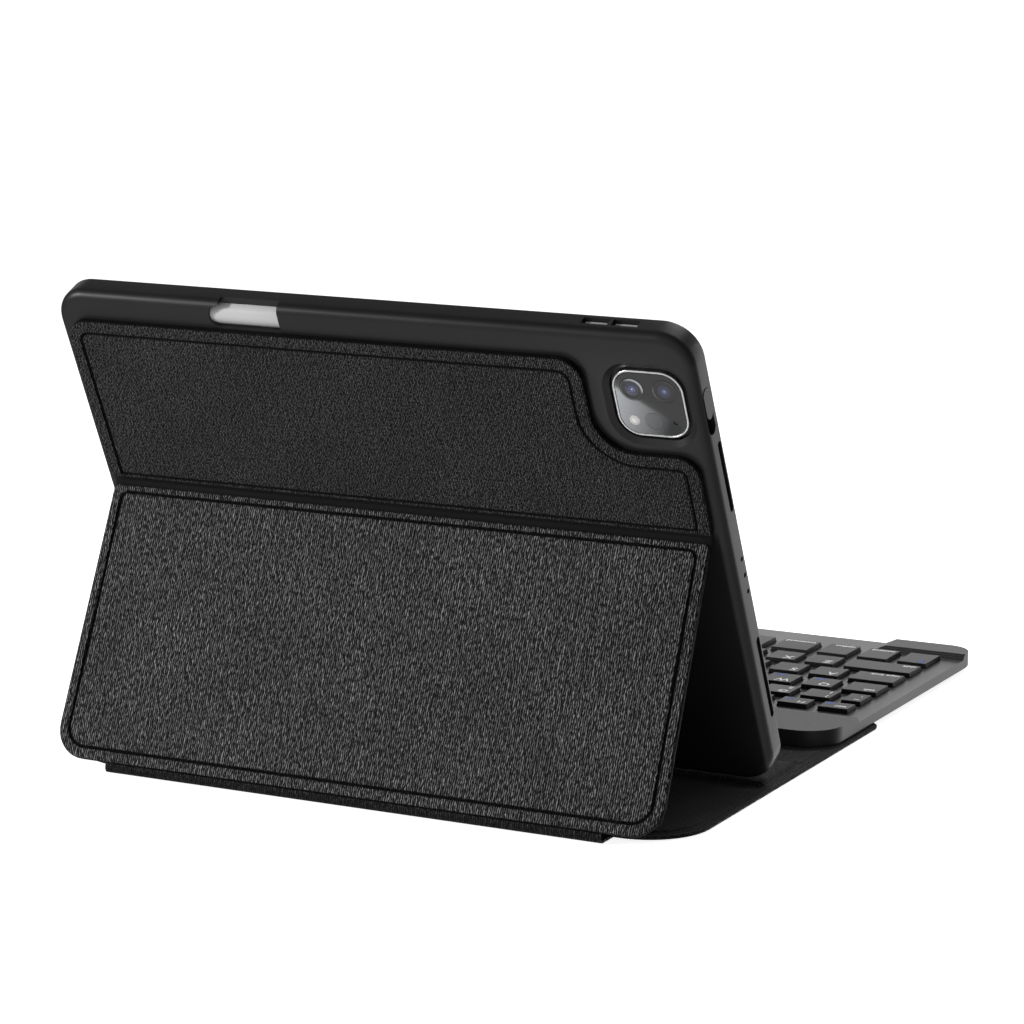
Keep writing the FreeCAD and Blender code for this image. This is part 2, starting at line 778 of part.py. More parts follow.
def key_openings():
    holes = []
    for row, y0, y1 in ROWS:
        for _, x0, x1 in row_keys(row):
            margin = KEY_CLEAR - KEY_INSET
            sides = (x0 - margin, x1 + margin, y0 - margin, y1 + margin)
            holes.append(box(*sides, DECK_TOP - 3, DECK_TOP + 1))
    return holes


SCREW_PLACES = (
    (-119.0, FRONT_Y + 20),
    (119.0, FRONT_Y + 20),
    (-121.4, FRONT_Y + 72),
    (121.4, FRONT_Y + 72),
    (-106.0, KEYBOARD_REAR_Y - 6),
    (106.0, KEYBOARD_REAR_Y - 6),
)
SCREW_RADIUS = 0.7
SCREW_HEAD = 1.3
BOSS_RADIUS = 1.8
PORT_X = 60.0
SWITCH_X = 88.0
SWITCH_SLOT = (9.0, 2.2)
SWITCH_LOW = 3.6
REAR_PORT = (9.4, 3.4)
HOUSING_LOW = KEYBOARD_LOW + BOTTOM_PLATE
REAR_PORT_LOW = HOUSING_LOW + 0.4


def rear_cavity():
    """The space under the ridge, for the battery, board and charging port."""
    low = DECK_TOP - DECK_THICK - 0.5
    half = KEYBOARD_WIDTH / 2 - 8
    block = box(-half, half, RIDGE_FRONT_Y + 0.6, KEYBOARD_REAR_Y, low, RIDGE_TOP - DECK_THICK)
    return block.common(plate(keyboard_corners(WALL), 0, 20))


def screw_boss(x, y):
    """A post from the housing's floor level up into the deck or the ridge above it."""
    top = RIDGE_TOP if y > RIDGE_FRONT_Y else DECK_TOP
    return cylinder(BOSS_RADIUS, Vector(x, y, HOUSING_LOW), Vector(x, y, top - 0.6))


def rear_wall_hole(middle, size, low):
    """A rectangular opening through the housing's rear wall."""
    half = size[0] / 2
    inner = KEYBOARD_REAR_Y - WALL - 0.5
    return box(middle - half, middle + half, inner, KEYBOARD_REAR_Y + 1, low, low + size[1])


def keyboard_top():
    """The upper housing: deck, ridge, pads and side walls in one moulding."""
    body = plate(keyboard_corners(0), HOUSING_LOW, DECK_TOP)
    for part in raised_parts():
        body = body.fuse(part)
    cavity = plate(keyboard_corners(WALL), HOUSING_LOW - 1, DECK_TOP - DECK_THICK)
    body = body.cut([cavity, rear_cavity()])
    holes = key_openings()
    for x, y in SCREW_PLACES:
        body = body.fuse(screw_boss(x, y))
        holes.append(cylinder(SCREW_RADIUS, Vector(x, y, HOUSING_LOW - 1), Vector(x, y, HOUSING_LOW + 2)))
    holes.append(rear_wall_hole(PORT_X, REAR_PORT, REAR_PORT_LOW))
    holes.append(rear_wall_hole(SWITCH_X, SWITCH_SLOT, SWITCH_LOW))
    for x in LIGHT_X:
        start = Vector(x, LIGHT_Y, DECK_TOP - 1)
        holes.append(cylinder(LIGHT_RADIUS + 0.05, start, start + Vector(0, 0, 4)))
    return body.cut(holes).removeSplitter()


def status_lights():
    lights = []
    for x in LIGHT_X:
        start = Vector(x, LIGHT_Y, RIDGE_TOP - 1.15)
        lights.append(cylinder(LIGHT_RADIUS, start, start + Vector(0, 0, 1.1)))
    return group(lights)


def keyboard_bottom():
    """The lower housing plate, a little inside the upper one, with countersunk screw holes."""
    body = plate(keyboard_corners(0.4), KEYBOARD_LOW, HOUSING_LOW)
    holes = []
    for x, y in SCREW_PLACES:
        start = Vector(x, y, KEYBOARD_LOW - 1)
        holes.append(cylinder(SCREW_RADIUS + 0.1, start, Vector(x, y, HOUSING_LOW + 1)))
        holes.append(cylinder(SCREW_HEAD + 0.1, start, Vector(x, y, KEYBOARD_LOW + 0.4)))
    return body.cut(holes)


def housing_screws():
    screws = []
    for x, y in SCREW_PLACES:
        head = cylinder(SCREW_HEAD, Vector(x, y, KEYBOARD_LOW + 0.05), Vector(x, y, KEYBOARD_LOW + 0.4))
        shank = cylinder(SCREW_RADIUS, Vector(x, y, KEYBOARD_LOW + 0.3), Vector(x, y, HOUSING_LOW + 1.9))
        screws.append(head.fuse(shank).removeSplitter())
    return group(screws)


FOOT_PLACES = (-100.0, 100.0)


def keyboard_feet():
    """Rubber pads under the front of the keyboard, which stands past the base."""
    feet = []
    for x in FOOT_PLACES:
        corners = rectangle(x - 11, x + 11, FRONT_Y + 6, FRONT_Y + 11, 2.4)
        feet.append(plate(corners, 0, KEYBOARD_LOW))
    return group(feet)


def switch_sheet():
    """The membrane switch sheet under all the keys."""
    y0 = ROWS[-1][1] - 2
    y1 = ROWS[0][2] + 2
    sheet = plate(rectangle(KEYS_LEFT - 1, KEYS_RIGHT + 1, y0, y1, 1), SHEET_LOW, SHEET_TOP)
    return sheet.cut([boss_clearance(x, y) for x, y in SCREW_PLACES])


def boss_clearance(x, y):
    return cylinder(BOSS_RADIUS + 0.3, Vector(x, y, 0), Vector(x, y, 10))


INSIDE_REAR_Y = KEYBOARD_REAR_Y - 8.5  # rear edge of the circuit board and the battery
INSIDE_LOW = 2.8


def circuit_board():
    return box(42, 114, INSIDE_REAR_Y - 12, INSIDE_REAR_Y, INSIDE_LOW, INSIDE_LOW + 0.8)


def battery():
    return plate(rectangle(-70, 30, INSIDE_REAR_Y - 18, INSIDE_REAR_Y, 1.5), INSIDE_LOW, INSIDE_LOW + 3.4)


def charge_port():
    """The receptacle behind the housing's rear opening."""
    half = REAR_PORT[0] / 2 - 0.2
    y1 = KEYBOARD_REAR_Y - 0.3
    low = REAR_PORT_LOW + 0.15
    high = low + REAR_PORT[1] - 0.3
    skin = 0.4
    inside = half - skin
    blade = half - 1.4
    outer = box(PORT_X - half, PORT_X + half, y1 - 7.6, y1, low, high)
    inner = box(PORT_X - inside, PORT_X + inside, y1 - 6.8, y1 + 1, low + skin, high - skin)
    tongue = box(PORT_X - blade, PORT_X + blade, y1 - 7, y1 - 1, low + 1.2, low + 1.9)
    return outer.cut(inner).fuse(tongue).removeSplitter()


SWITCH_TAB = 4.6


def power_switch():
    """A sliding switch with its finger tab in the rear wall slot, at the left end of its travel."""
    left = SWITCH_X - SWITCH_SLOT[0] / 2 + 0.3
    right = left + SWITCH_TAB
    wall = KEYBOARD_REAR_Y - WALL
    top = SWITCH_LOW + SWITCH_SLOT[1] - 0.3
    tab = box(left, right, wall - 0.4, KEYBOARD_REAR_Y + 0.5, SWITCH_LOW + 0.3, top)
    block = box(left - 1, right + 1, wall - 2.6, wall - 0.3, SWITCH_LOW + 0.2, SWITCH_LOW + 1.15)
    return tab.fuse(block).removeSplitter()


def keyboard_magnets():
    return magnet_row(HOUSING_LOW + 0.02, HOUSING_LOW + 0.25)


# ---- All nodes -----------------------------------------------------------------------------------
def nodes():
    made = {
        "base_leather": base_leather(),
        "base_board_rear": base_board(REAR_BOARD, REAR_TOP),
        "strip_board": base_board(STRIP, STRIP_TOP).cut(strip_magnets()),
        "base_board_front": base_board(FRONT_BOARD, FRONT_TOP).cut(base_magnets()),
        "base_lining": base_lining(),
        "strip_magnets": strip_magnets(),
        "base_magnets": base_magnets(),
        "spine_strip": spine_strip(),
        "flap_hem": flap_hem(),
        "flap_leather": flap_leather(),
        "flap_board": flap_board(),
        "flap_lining": flap_lining(),
        "panel_board": panel_board(),
        "panel_leather": panel_leather(),
        "shell": shell().cut(shell_magnets()),
        "shell_magnets": shell_magnets(),
        "power_button": power_button(),
        "volume_up_button": volume_button(VOLUME_SPANS[0]),
        "volume_down_button": volume_button(VOLUME_SPANS[1]),
        "tablet_housing": tablet_housing(),
        "tablet_battery": tablet_battery(),
        "tablet_board": tablet_board(),
        "display_glass": display_glass(),
        "camera_ring": camera_ring(),
        "camera_glass": camera_glass(),
        "camera_lenses": camera_lenses(),
        "flash_lens": flash_lens(),
        "stylus_barrel": stylus_barrel(),
        "stylus_tip": stylus_tip(),
        "keyboard_top": keyboard_top(),
        "keyboard_bottom": keyboard_bottom(),
        "housing_screws": housing_screws(),
        "keyboard_feet": keyboard_feet(),
        "switch_sheet": switch_sheet(),
        "circuit_board": circuit_board(),
        "battery": battery(),
        "charge_port": charge_port(),
        "power_switch": power_switch(),
        "keyboard_magnets": keyboard_magnets(),
        "status_lights": status_lights(),
    }
    made.update(key_nodes())
    return made


os.makedirs("parts", exist_ok=True)
for node_name, shape in nodes().items():
    shape.exportStep(os.path.join("parts", node_name + ".step"))
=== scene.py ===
import json
import math
import random

import bmesh
import bpy
import numpy as np
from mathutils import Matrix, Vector, noise
from mathutils.geometry import delaunay_2d_cdt


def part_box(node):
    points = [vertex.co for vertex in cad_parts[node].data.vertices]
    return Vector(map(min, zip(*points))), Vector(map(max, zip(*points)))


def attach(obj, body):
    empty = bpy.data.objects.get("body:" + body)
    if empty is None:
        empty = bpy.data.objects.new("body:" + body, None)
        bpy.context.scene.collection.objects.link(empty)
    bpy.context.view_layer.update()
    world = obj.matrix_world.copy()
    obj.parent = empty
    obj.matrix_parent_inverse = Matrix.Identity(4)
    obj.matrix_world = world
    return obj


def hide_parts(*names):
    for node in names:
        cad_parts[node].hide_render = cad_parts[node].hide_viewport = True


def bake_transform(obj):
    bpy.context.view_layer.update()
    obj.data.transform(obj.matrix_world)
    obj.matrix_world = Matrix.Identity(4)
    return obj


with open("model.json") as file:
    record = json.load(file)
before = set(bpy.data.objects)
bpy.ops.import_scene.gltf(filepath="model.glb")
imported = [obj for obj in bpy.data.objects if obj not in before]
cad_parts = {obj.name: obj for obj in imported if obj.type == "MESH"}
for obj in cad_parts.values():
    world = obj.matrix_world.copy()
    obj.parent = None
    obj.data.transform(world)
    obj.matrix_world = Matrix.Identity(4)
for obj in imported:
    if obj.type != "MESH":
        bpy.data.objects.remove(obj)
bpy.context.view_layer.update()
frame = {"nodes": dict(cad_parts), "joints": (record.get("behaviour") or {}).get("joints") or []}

# Tablet keyboard case, standing open. Metres, in the CAD's frame: +X is the user's right, -Y is towards
# the user, +Z is up. The camera looks at the back of the stand.
MM = 0.001
TINY = 0.01 * MM
SAME_POINT = TINY / 5


# ---- The frame's own measures --------------------------------------------------------------------
JOINTS = {joint["name"]: joint for joint in frame["joints"]}
ACROSS = Vector((1, 0, 0))
UP = Vector((0, 0, 1))


def reach(node, way):
    """The least and the most of a CAD node's points along a direction."""
    steps = [v.co.dot(way) for v in frame["nodes"][node].data.vertices]
    return min(steps), max(steps)


def joint_point(name):
    return Vector(JOINTS[name]["pos_m"])


SHELL_UP = -Vector(JOINTS["volume_up"]["axis"])
SHELL_OUT = -Vector(JOINTS["tablet_slide"]["axis"])
SHELL_FOOT = SHELL_UP * reach("shell", SHELL_UP)[0] + SHELL_OUT * reach("shell", SHELL_OUT)[1]
CREASE = joint_point("crease")
GROOVE_HINGE = joint_point("stand_fold")
HEM_HINGE = joint_point("cover_tilt")
FLAP_DOWN = (HEM_HINGE - GROOVE_HINGE).normalized()
FLAP_OUT = ACROSS.cross(FLAP_DOWN)
CREASE_HEIGHT = (CREASE - SHELL_FOOT).dot(SHELL_UP)
PANEL_THICK = (CREASE - SHELL_FOOT).dot(SHELL_OUT)


def on_shell(x, height, depth):
    """A point on the leaning shell: height up its back, depth out from its back face."""
    return SHELL_FOOT + ACROSS * x + SHELL_UP * height + SHELL_OUT * depth


def on_flap(x, below, depth):
    """A point on the flap: how far below the crease, and depth out from its outer face."""
    return CREASE + ACROSS * x + FLAP_DOWN * below + FLAP_OUT * depth


def on_floor(x, y, z):
    return Vector((x, y, z))


def shell_span(node, way, origin=SHELL_FOOT):
    low, high = reach(node, way)
    return low - origin.dot(way), high - origin.dot(way)


# ---- Outlines and skins --------------------------------------------------------------------------
# delaunay_2d_cdt: keep the triangles inside the outline, and merge points closer than this, in metres.
CDT_INSIDE = 1
CDT_MERGE = 1e-7
# A lattice's unevenness, as a share of its pitch.
UNEVEN = 0.18
SEED = 3


def corner_arc(corners, index, inset, steps):
    """The points of one rounded corner of an anticlockwise outline, moved in by inset."""
    x, y, radius = corners[index]
    here = Vector((x, y))
    back = Vector(corners[index - 1][:2]) - here
    ahead = Vector(corners[(index + 1) % len(corners)][:2]) - here
    outer = back.x * ahead.y - back.y * ahead.x < 0
    half = back.angle(ahead) / 2
    bisector = (back.normalized() + ahead.normalized()).normalized()
    rest = radius - inset if outer else radius + inset
    if rest <= TINY:
        sharp = here + bisector * (inset / math.sin(half)) * (1 if outer else -1)
        return [sharp.copy() for _ in range(steps + 1)]
    centre = here + bisector * (radius / math.sin(half))
    start = here + back.normalized() * (radius / math.tan(half)) - centre
    if start.length < TINY:
        start = -bisector
    angle = math.atan2(start.y, start.x)
    sweep = (math.pi - 2 * half) * (1 if outer else -1)
    turns = [angle + sweep * k / steps for k in range(steps + 1)]
    return [centre + Vector((math.cos(a), math.sin(a))) * rest for a in turns]


def side_shares(start, finish, cuts, pitch):
    """Where a straight side has points: evenly spaced, and where it crosses a cut in x or y."""
    way = finish - start
    count = int(way.length / pitch)
    shares = [k / count for k in range(1, count)] if count else []
    axis = 0 if abs(way.x) > abs(way.y) else 1
    kept = []
    for cut in cuts[axis]:
        if abs(way[axis]) > TINY:
            share = (cut - start[axis]) / way[axis]
            if 0 < share < 1:
                shares = [s for s in shares if s in kept or abs(s - share) * way.length > 0.3 * pitch]
                shares.append(share)
                kept.append(share)
    return sorted(shares)


def ring(corners, inset, cuts=((), ()), pitch=4 * MM, steps=6):
    """Points round an anticlockwise outline of (x, y, radius) corners: as many at every inset."""
    arcs = [corner_arc(corners, i, inset, steps) for i in range(len(corners))]
    plain = [corner_arc(corners, i, 0.0, steps) for i in range(len(corners))]
    points = []
    for i, arc in enumerate(arcs):
        after = (i + 1) % len(arcs)
        points.extend(arc)
        for share in side_shares(plain[i][-1], plain[after][0], cuts, pitch):
            points.append(arc[-1].lerp(arcs[after][0], share))
    return [(p.x, p.y) for p in points]


def rectangle(x0, x1, y0, y1, radius):
    return [(x0, y0, radius), (x1, y0, radius), (x1, y1, radius), (x0, y1, radius)]


def circle(x, y, radius, count=48):
    turns = [2 * math.pi * k / count for k in range(count)]
    return [(x + radius * math.cos(a), y + radius * math.sin(a)) for a in turns]


def at(points, height):
    """Give flat points a height: a number, or a function of x and y."""
    if callable(height):
        return [(x, y, height(x, y)) for x, y in points]
    return [(x, y, height) for x, y in points]


def within(points, outline):
    """Which of the points lie inside a closed outline."""
    px, py = np.array(points, float).reshape(-1, 2).T
    inside = np.zeros(len(px), bool)
    for (x0, y0), (x1, y1) in zip(outline, outline[1:] + outline[:1]):
        if y0 != y1:
            crosses = (y0 > py) != (y1 > py)
            inside ^= crosses & (px < (x1 - x0) * (py - y0) / (y1 - y0) + x0)
    return inside


def lattice(outline, pitch):
    """Slightly uneven points that fill an outline, at about that spacing."""
    draw = random.Random(SEED)
    xs = [x for x, _ in outline]
    ys = [y for _, y in outline]
    points = []
    for row in range(int((max(ys) - min(ys)) / pitch) + 1):
        for column in range(int((max(xs) - min(xs)) / pitch) + 1):
            x = min(xs) + (column + 0.5 * (row % 2) + draw.uniform(-UNEVEN, UNEVEN)) * pitch
            y = min(ys) + (row + draw.uniform(-UNEVEN, UNEVEN)) * pitch
            points.append((x, y))
    keep = within(points, outline)
    return [p for p, k in zip(points, keep) if k]


class Piece:
    """A mesh being built, with the flat place of each point kept for its finish."""

    def __init__(self, name, place=on_floor):
        self.name = name
        self.place = place
        self.bm = bmesh.new()
        self.cut = self.bm.verts.layers.float_vector.new("cut")

    def vertex(self, x, y, h):
        made = self.bm.verts.new(self.place(x, y, h))
        made[self.cut] = (x, y, h)
        return made

    def rings(self, rings, material=0):
        """Join rings of (x, y, h) points one to one with quads, and return their vertices."""
        made = [[self.vertex(*point) for point in points] for points in rings]
        for low, high in zip(made, made[1:]):
            for i in range(len(low)):
                j = (i + 1) % len(low)
                face = self.bm.faces.new((low[i], low[j], high[j], high[i]))
                face.material_index = material
        return made

    def cap(self, row, material=0, facing_up=True):
        """Close a ring with one flat face."""
        face = self.bm.faces.new(row if facing_up else list(reversed(row)))
        face.material_index = material

    def top(self, boundary, loops=(), lines=(), height=None, scatter=()):
        """Fill a boundary ring of vertices with triangles that keep every loop and line as edges.

        Loops are closed rings of (x, y, h), lines are open ones, scatter is loose (x, y) points,
        and height gives the level of each point that has none of its own.
        """
        points = [tuple(v[self.cut]) for v in boundary]
        edges = [(i, (i + 1) % len(points)) for i in range(len(points))]
        for closed, group in ((True, loops), (False, lines)):
            for line in group:
                first = len(points)
                points.extend(line)
                last = len(points) - 1
                edges.extend((i, i + 1) for i in range(first, last))
                if closed:
                    edges.append((last, first))
        points.extend((x, y, None) for x, y in scatter)
        flat = [Vector(p[:2]) for p in points]
        found, _, faces, origins, _, _ = delaunay_2d_cdt(flat, edges, [], CDT_INSIDE, CDT_MERGE)
        made = []
        for spot, origin in zip(found, origins):
            on_boundary = [i for i in origin if i < len(boundary)]
            if on_boundary:
                made.append(boundary[on_boundary[0]])
                continue
            levels = [points[i][2] for i in origin if points[i][2] is not None]
            made.append(self.vertex(spot.x, spot.y, levels[0] if levels else height(spot.x, spot.y)))
        for face in faces:
            corners = [made[i] for i in face]
            if len(set(corners)) == 3 and not self.bm.faces.get(corners):
                self.bm.faces.new(corners)

    def done(self, finishes, slot, sharp, outward=None):
        """Make the object, with its finishes. An open skin is turned to face outward."""
        bmesh.ops.remove_doubles(self.bm, verts=self.bm.verts, dist=SAME_POINT)
        bmesh.ops.dissolve_degenerate(self.bm, edges=self.bm.edges, dist=SAME_POINT)
        bmesh.ops.recalc_face_normals(self.bm, faces=self.bm.faces)
        if outward and sum(face.normal.dot(outward) * face.calc_area() for face in self.bm.faces) < 0:
            bmesh.ops.reverse_faces(self.bm, faces=self.bm.faces)
        mesh = bpy.data.meshes.new(self.name)
        self.bm.to_mesh(mesh)
        self.bm.free()
        mesh.polygons.foreach_set("use_smooth", [True] * len(mesh.polygons))
        mesh.set_sharp_from_angle(angle=math.radians(sharp))
        for finish in finishes:
            mesh.materials.append(FINISH[finish])
        piece = bpy.data.objects.new(self.name, mesh)
        bpy.context.scene.collection.objects.link(piece)
        return piece


# ---- Finishes ------------------------------------------------------------------------------------
# The wave texture's scale that puts its bands one unit apart.
ONE_WAVE = math.pi / 10


def rgb(level, warmth=0.0):
    """A near grey, by its level on a screen from 0 to 255."""
    channel = level / 255
    linear = channel / 12.92 if channel <= 0.04045 else ((channel + 0.055) / 1.055) ** 2.4
    return (linear * (1 + warmth), linear, linear * (1 - warmth), 1.0)


class Finish:
    """A procedural material, made node by node."""

    def __init__(self, name, **values):
        self.material = bpy.data.materials.new(name)
        self.material.use_nodes = True
        self.tree = self.material.node_tree
        self.shader = self.tree.nodes["Principled BSDF"]
        self.set(self.shader, **values)

    def set(self, node, **values):
        """Set or link a node's inputs, by name with _ for a space."""
        for name, value in values.items():
            self.feed(node.inputs[name.replace("_", " ")], value)

    def feed(self, socket, value):
        if isinstance(value, bpy.types.NodeSocket):
            self.tree.links.new(value, socket)
        else:
            socket.default_value = value

    def node(self, kind, settings=None, **values):
        made = self.tree.nodes.new("ShaderNode" + kind)
        for name, value in (settings or {}).items():
            setattr(made, name, value)
        self.set(made, **values)
        return made

    def sum(self, operation, *terms):
        made = self.tree.nodes.new("ShaderNodeMath")
        made.operation = operation
        for socket, value in zip(made.inputs, terms):
            self.feed(socket, value)
        return made.outputs[0]

    def place(self, scale=(1, 1, 1), own=True):
        """Where a point lies: on the piece's flat cut, or in the object, scaled."""
        if own:
            source = self.node("Attribute", {"attribute_name": "cut"}).outputs["Vector"]
        else:
            source = self.node("TexCoord").outputs["Object"]
        made = self.node("Mapping", {"vector_type": "POINT"}, Vector=source, Scale=scale)
        return made.outputs["Vector"]

    def noise(self, place, scale, detail=2.0, roughness=0.5):
        made = self.node("TexNoise", Vector=place, Scale=scale, Detail=detail, Roughness=roughness)
        return made.outputs["Fac"]

    def range(self, value, low, high, to_low=0.0, to_high=1.0):
        limits = {"From_Min": low, "From_Max": high, "To_Min": to_low, "To_Max": to_high}
        made = self.node("MapRange", Value=value, **limits)
        return made.outputs["Result"]

    def mix(self, share, first, second):
        made = self.tree.nodes.new("ShaderNodeMix")
        made.data_type = "RGBA"
        self.feed(made.inputs["Factor"], share)
        self.feed(made.inputs[6], first)
        self.feed(made.inputs[7], second)
        return made.outputs[2]

    def bump(self, height, distance, strength):
        made = self.node("Bump", Height=height, Distance=distance, Strength=strength)
        return made.outputs["Normal"]

    def done(self, colour=None, roughness=None, normal=None):
        if colour is not None:
            self.feed(self.shader.inputs["Base Color"], colour)
        if roughness is not None:
            self.feed(self.shader.inputs["Roughness"], roughness)
        if normal is not None:
            self.feed(self.shader.inputs["Normal"], normal)
        return self.material


def leather(name, grain, tones, deep, rough):
    """Grained leather: fine wandering ridges of grain = (apart, long), broken up, with painted shade in
    its crevices and grooves.
    """
    f = Finish(name, Specular_IOR_Level=0.22)
    apart, long = grain
    place = f.place((1 / apart, 1 / long, 1 / apart))
    waves = {"wave_type": "BANDS", "bands_direction": "X", "wave_profile": "SIN"}
    values = {"Scale": ONE_WAVE, "Distortion": 4.5, "Detail": 1.0, "Detail_Scale": 2.8}
    ridge = f.node("TexWave", waves, Vector=place, **values).outputs["Fac"]
    breaks = f.range(f.noise(place, 1.0, 1.0), 0.34, 0.56, 0.3, 1.0)
    height = f.sum("MULTIPLY", ridge, breaks)
    patches = f.noise(f.place((25, 25, 25)), 1.0, 3.0)
    dark, light = tones
    lit = f.mix(f.range(patches, 0.3, 0.7), rgb(light * 0.94), rgb(light * 1.06))
    # Painted shade: where the skin sinks below its face, in pressed grooves and where it turns over an
    # edge, its colour is darkened nearly to black.
    sunk = f.node("SeparateXYZ", Vector=f.place()).outputs["Z"]
    painted_recess_shade = f.range(sunk, -0.5 * MM, -0.1 * MM, 0.04, 1.0)
    # The colour runs from black in the grain's crevices to light on its ridge tops. This is partly the
    # leather's own tone and partly painted shade and highlight on the relief.
    colour = f.mix(f.sum("MULTIPLY", f.sum("POWER", height, 2.0), painted_recess_shade), rgb(dark), lit)
    gloss = f.range(f.sum("MULTIPLY", height, painted_recess_shade), 0.1, 0.7, min(rough + 0.4, 1.0), rough)
    return f.done(colour, gloss, f.bump(height, deep, 1.0))


def microfibre(name, level):
    """Short black nap: fine specks, faint brushed patches and a soft sheen."""
    f = Finish(name, Specular_IOR_Level=0.05, Sheen_Weight=0.15, Sheen_Roughness=0.5)
    place = f.place((1, 1, 1), own=False)
    nap = f.noise(place, 1500, 3.0, 0.75)
    brushed = f.noise(f.place((60, 22, 60), own=False), 1.0, 2.0)
    specks = f.sum("POWER", f.range(nap, 0.42, 0.7), 1.6)
    colour = f.mix(specks, rgb(level * 0.35), rgb(level * 2.6))
    worn = f.mix(f.range(brushed, 0.35, 0.65, 0.0, 0.3), colour, rgb(level * 1.2))
    return f.done(worn, f.range(brushed, 0.3, 0.7, 0.88, 0.98), f.bump(nap, 0.25 * MM, 0.9))


def moulded(name, level, rough, grain, speck):
    """Satin moulded plastic: very fine spark texture and slow changes of gloss."""
    f = Finish(name, Specular_IOR_Level=0.4)
    place = f.place((1, 1, 1), own=False)
    spark = f.noise(place, speck, 3.0, 0.6)
    slow = f.noise(place, 18, 3.0)
    colour = f.mix(f.range(slow, 0.3, 0.7), rgb(level * 0.95), rgb(level * 1.05))
    gloss = f.range(slow, 0.3, 0.7, rough - 0.04, rough + 0.04)
    return f.done(colour, gloss, f.bump(spark, grain * MM, 0.6))


def knurled(name, level, rough):
    """Moulded plastic with rows of fine dots pressed in, their hollows painted darker as shade."""
    f = Finish(name, Specular_IOR_Level=0.45)
    place = f.place((1, 1, 1), own=False)
    dots = f.node("TexVoronoi", Vector=place, Scale=1350, Randomness=0.12).outputs["Distance"]
    pit = f.range(dots, 0.15, 0.5)
    # Painted shade and light: the plastic is coloured lighter where the surface stands high and darker
    # where it lies low.
    colour = f.mix(pit, rgb(level * 1.35), rgb(level * 0.6))
    return f.done(colour, f.range(pit, 0, 1, rough, rough + 0.12), f.bump(pit, 0.1 * MM, -0.7))


def metal(name, level, rough, brushed=(400, 400, 400)):
    f = Finish(name, Metallic=1.0)
    scratch = f.noise(f.place(brushed, own=False), 1.0, 3.0, 0.6)
    colour = f.mix(f.range(scratch, 0.3, 0.7), rgb(level * 0.94), rgb(min(level * 1.04, 255)))
    gloss = f.range(scratch, 0.3, 0.7, rough - 0.05, rough + 0.07)
    return f.done(colour, gloss, f.bump(scratch, 0.01 * MM, 0.4))


def glossy(name, level, rough, warmth=0.0):
    """Polished glass over a dark or printed backing, with faint unevenness."""
    f = Finish(name, Coat_Weight=1.0, Coat_Roughness=0.03, Specular_IOR_Level=0.5)
    slow = f.noise(f.place((1, 1, 1), own=False), 60, 2.0)
    colour = f.mix(slow, rgb(level * 0.9, warmth), rgb(level * 1.1, warmth))
    return f.done(colour, f.range(slow, 0.3, 0.7, rough, rough + 0.05), f.bump(slow, 0.004 * MM, 0.2))


def fibre_board(name):
    f = Finish(name, Specular_IOR_Level=0.2)
    place = f.place((1, 1, 1), own=False)
    fibre = f.noise(f.place((900, 240, 900), own=False), 1.0, 4.0, 0.7)
    colour = f.mix(fibre, rgb(88, 0.12), rgb(132, 0.14))
    pitted = f.bump(f.noise(place, 700, 3.0), 0.05 * MM, 0.6)
    return f.done(colour, f.range(fibre, 0.2, 0.8, 0.75, 0.95), pitted)


def printed_board(name):
    """Green circuit board with lighter tracks."""
    f = Finish(name, Specular_IOR_Level=0.5)
    place = f.place((1, 1, 1), own=False)
    track = f.node("TexBrick", Vector=place, Scale=260.0, Mortar_Size=0.018).outputs["Fac"]
    colour = f.mix(track, (0.008, 0.06, 0.02, 1), (0.02, 0.14, 0.05, 1))
    return f.done(colour, f.range(track, 0, 1, 0.35, 0.5), f.bump(track, 0.03 * MM, 0.5))


def coated_lens(name, dark, light):
    """Dark glass whose middle shows the bluish coating."""
    f = Finish(name, Coat_Weight=1.0, Coat_Roughness=0.02, Specular_IOR_Level=0.6)
    slow = f.noise(f.place((1, 1, 1), own=False), 350, 2.0)
    gloss = f.range(slow, 0.3, 0.7, 0.04, 0.08)
    return f.done(f.mix(slow, dark, light), gloss, f.bump(slow, 0.003 * MM, 0.2))


def ink(name, colour):
    f = Finish(name, Specular_IOR_Level=0.3)
    edge = f.noise(f.place((1, 1, 1), own=False), 3000, 2.0)
    faded = tuple(c * 0.8 for c in colour[:3]) + (1.0,)
    gloss = f.range(edge, 0.3, 0.7, 0.45, 0.6)
    return f.done(f.mix(edge, colour, faded), gloss, f.bump(edge, 0.01 * MM, 0.3))


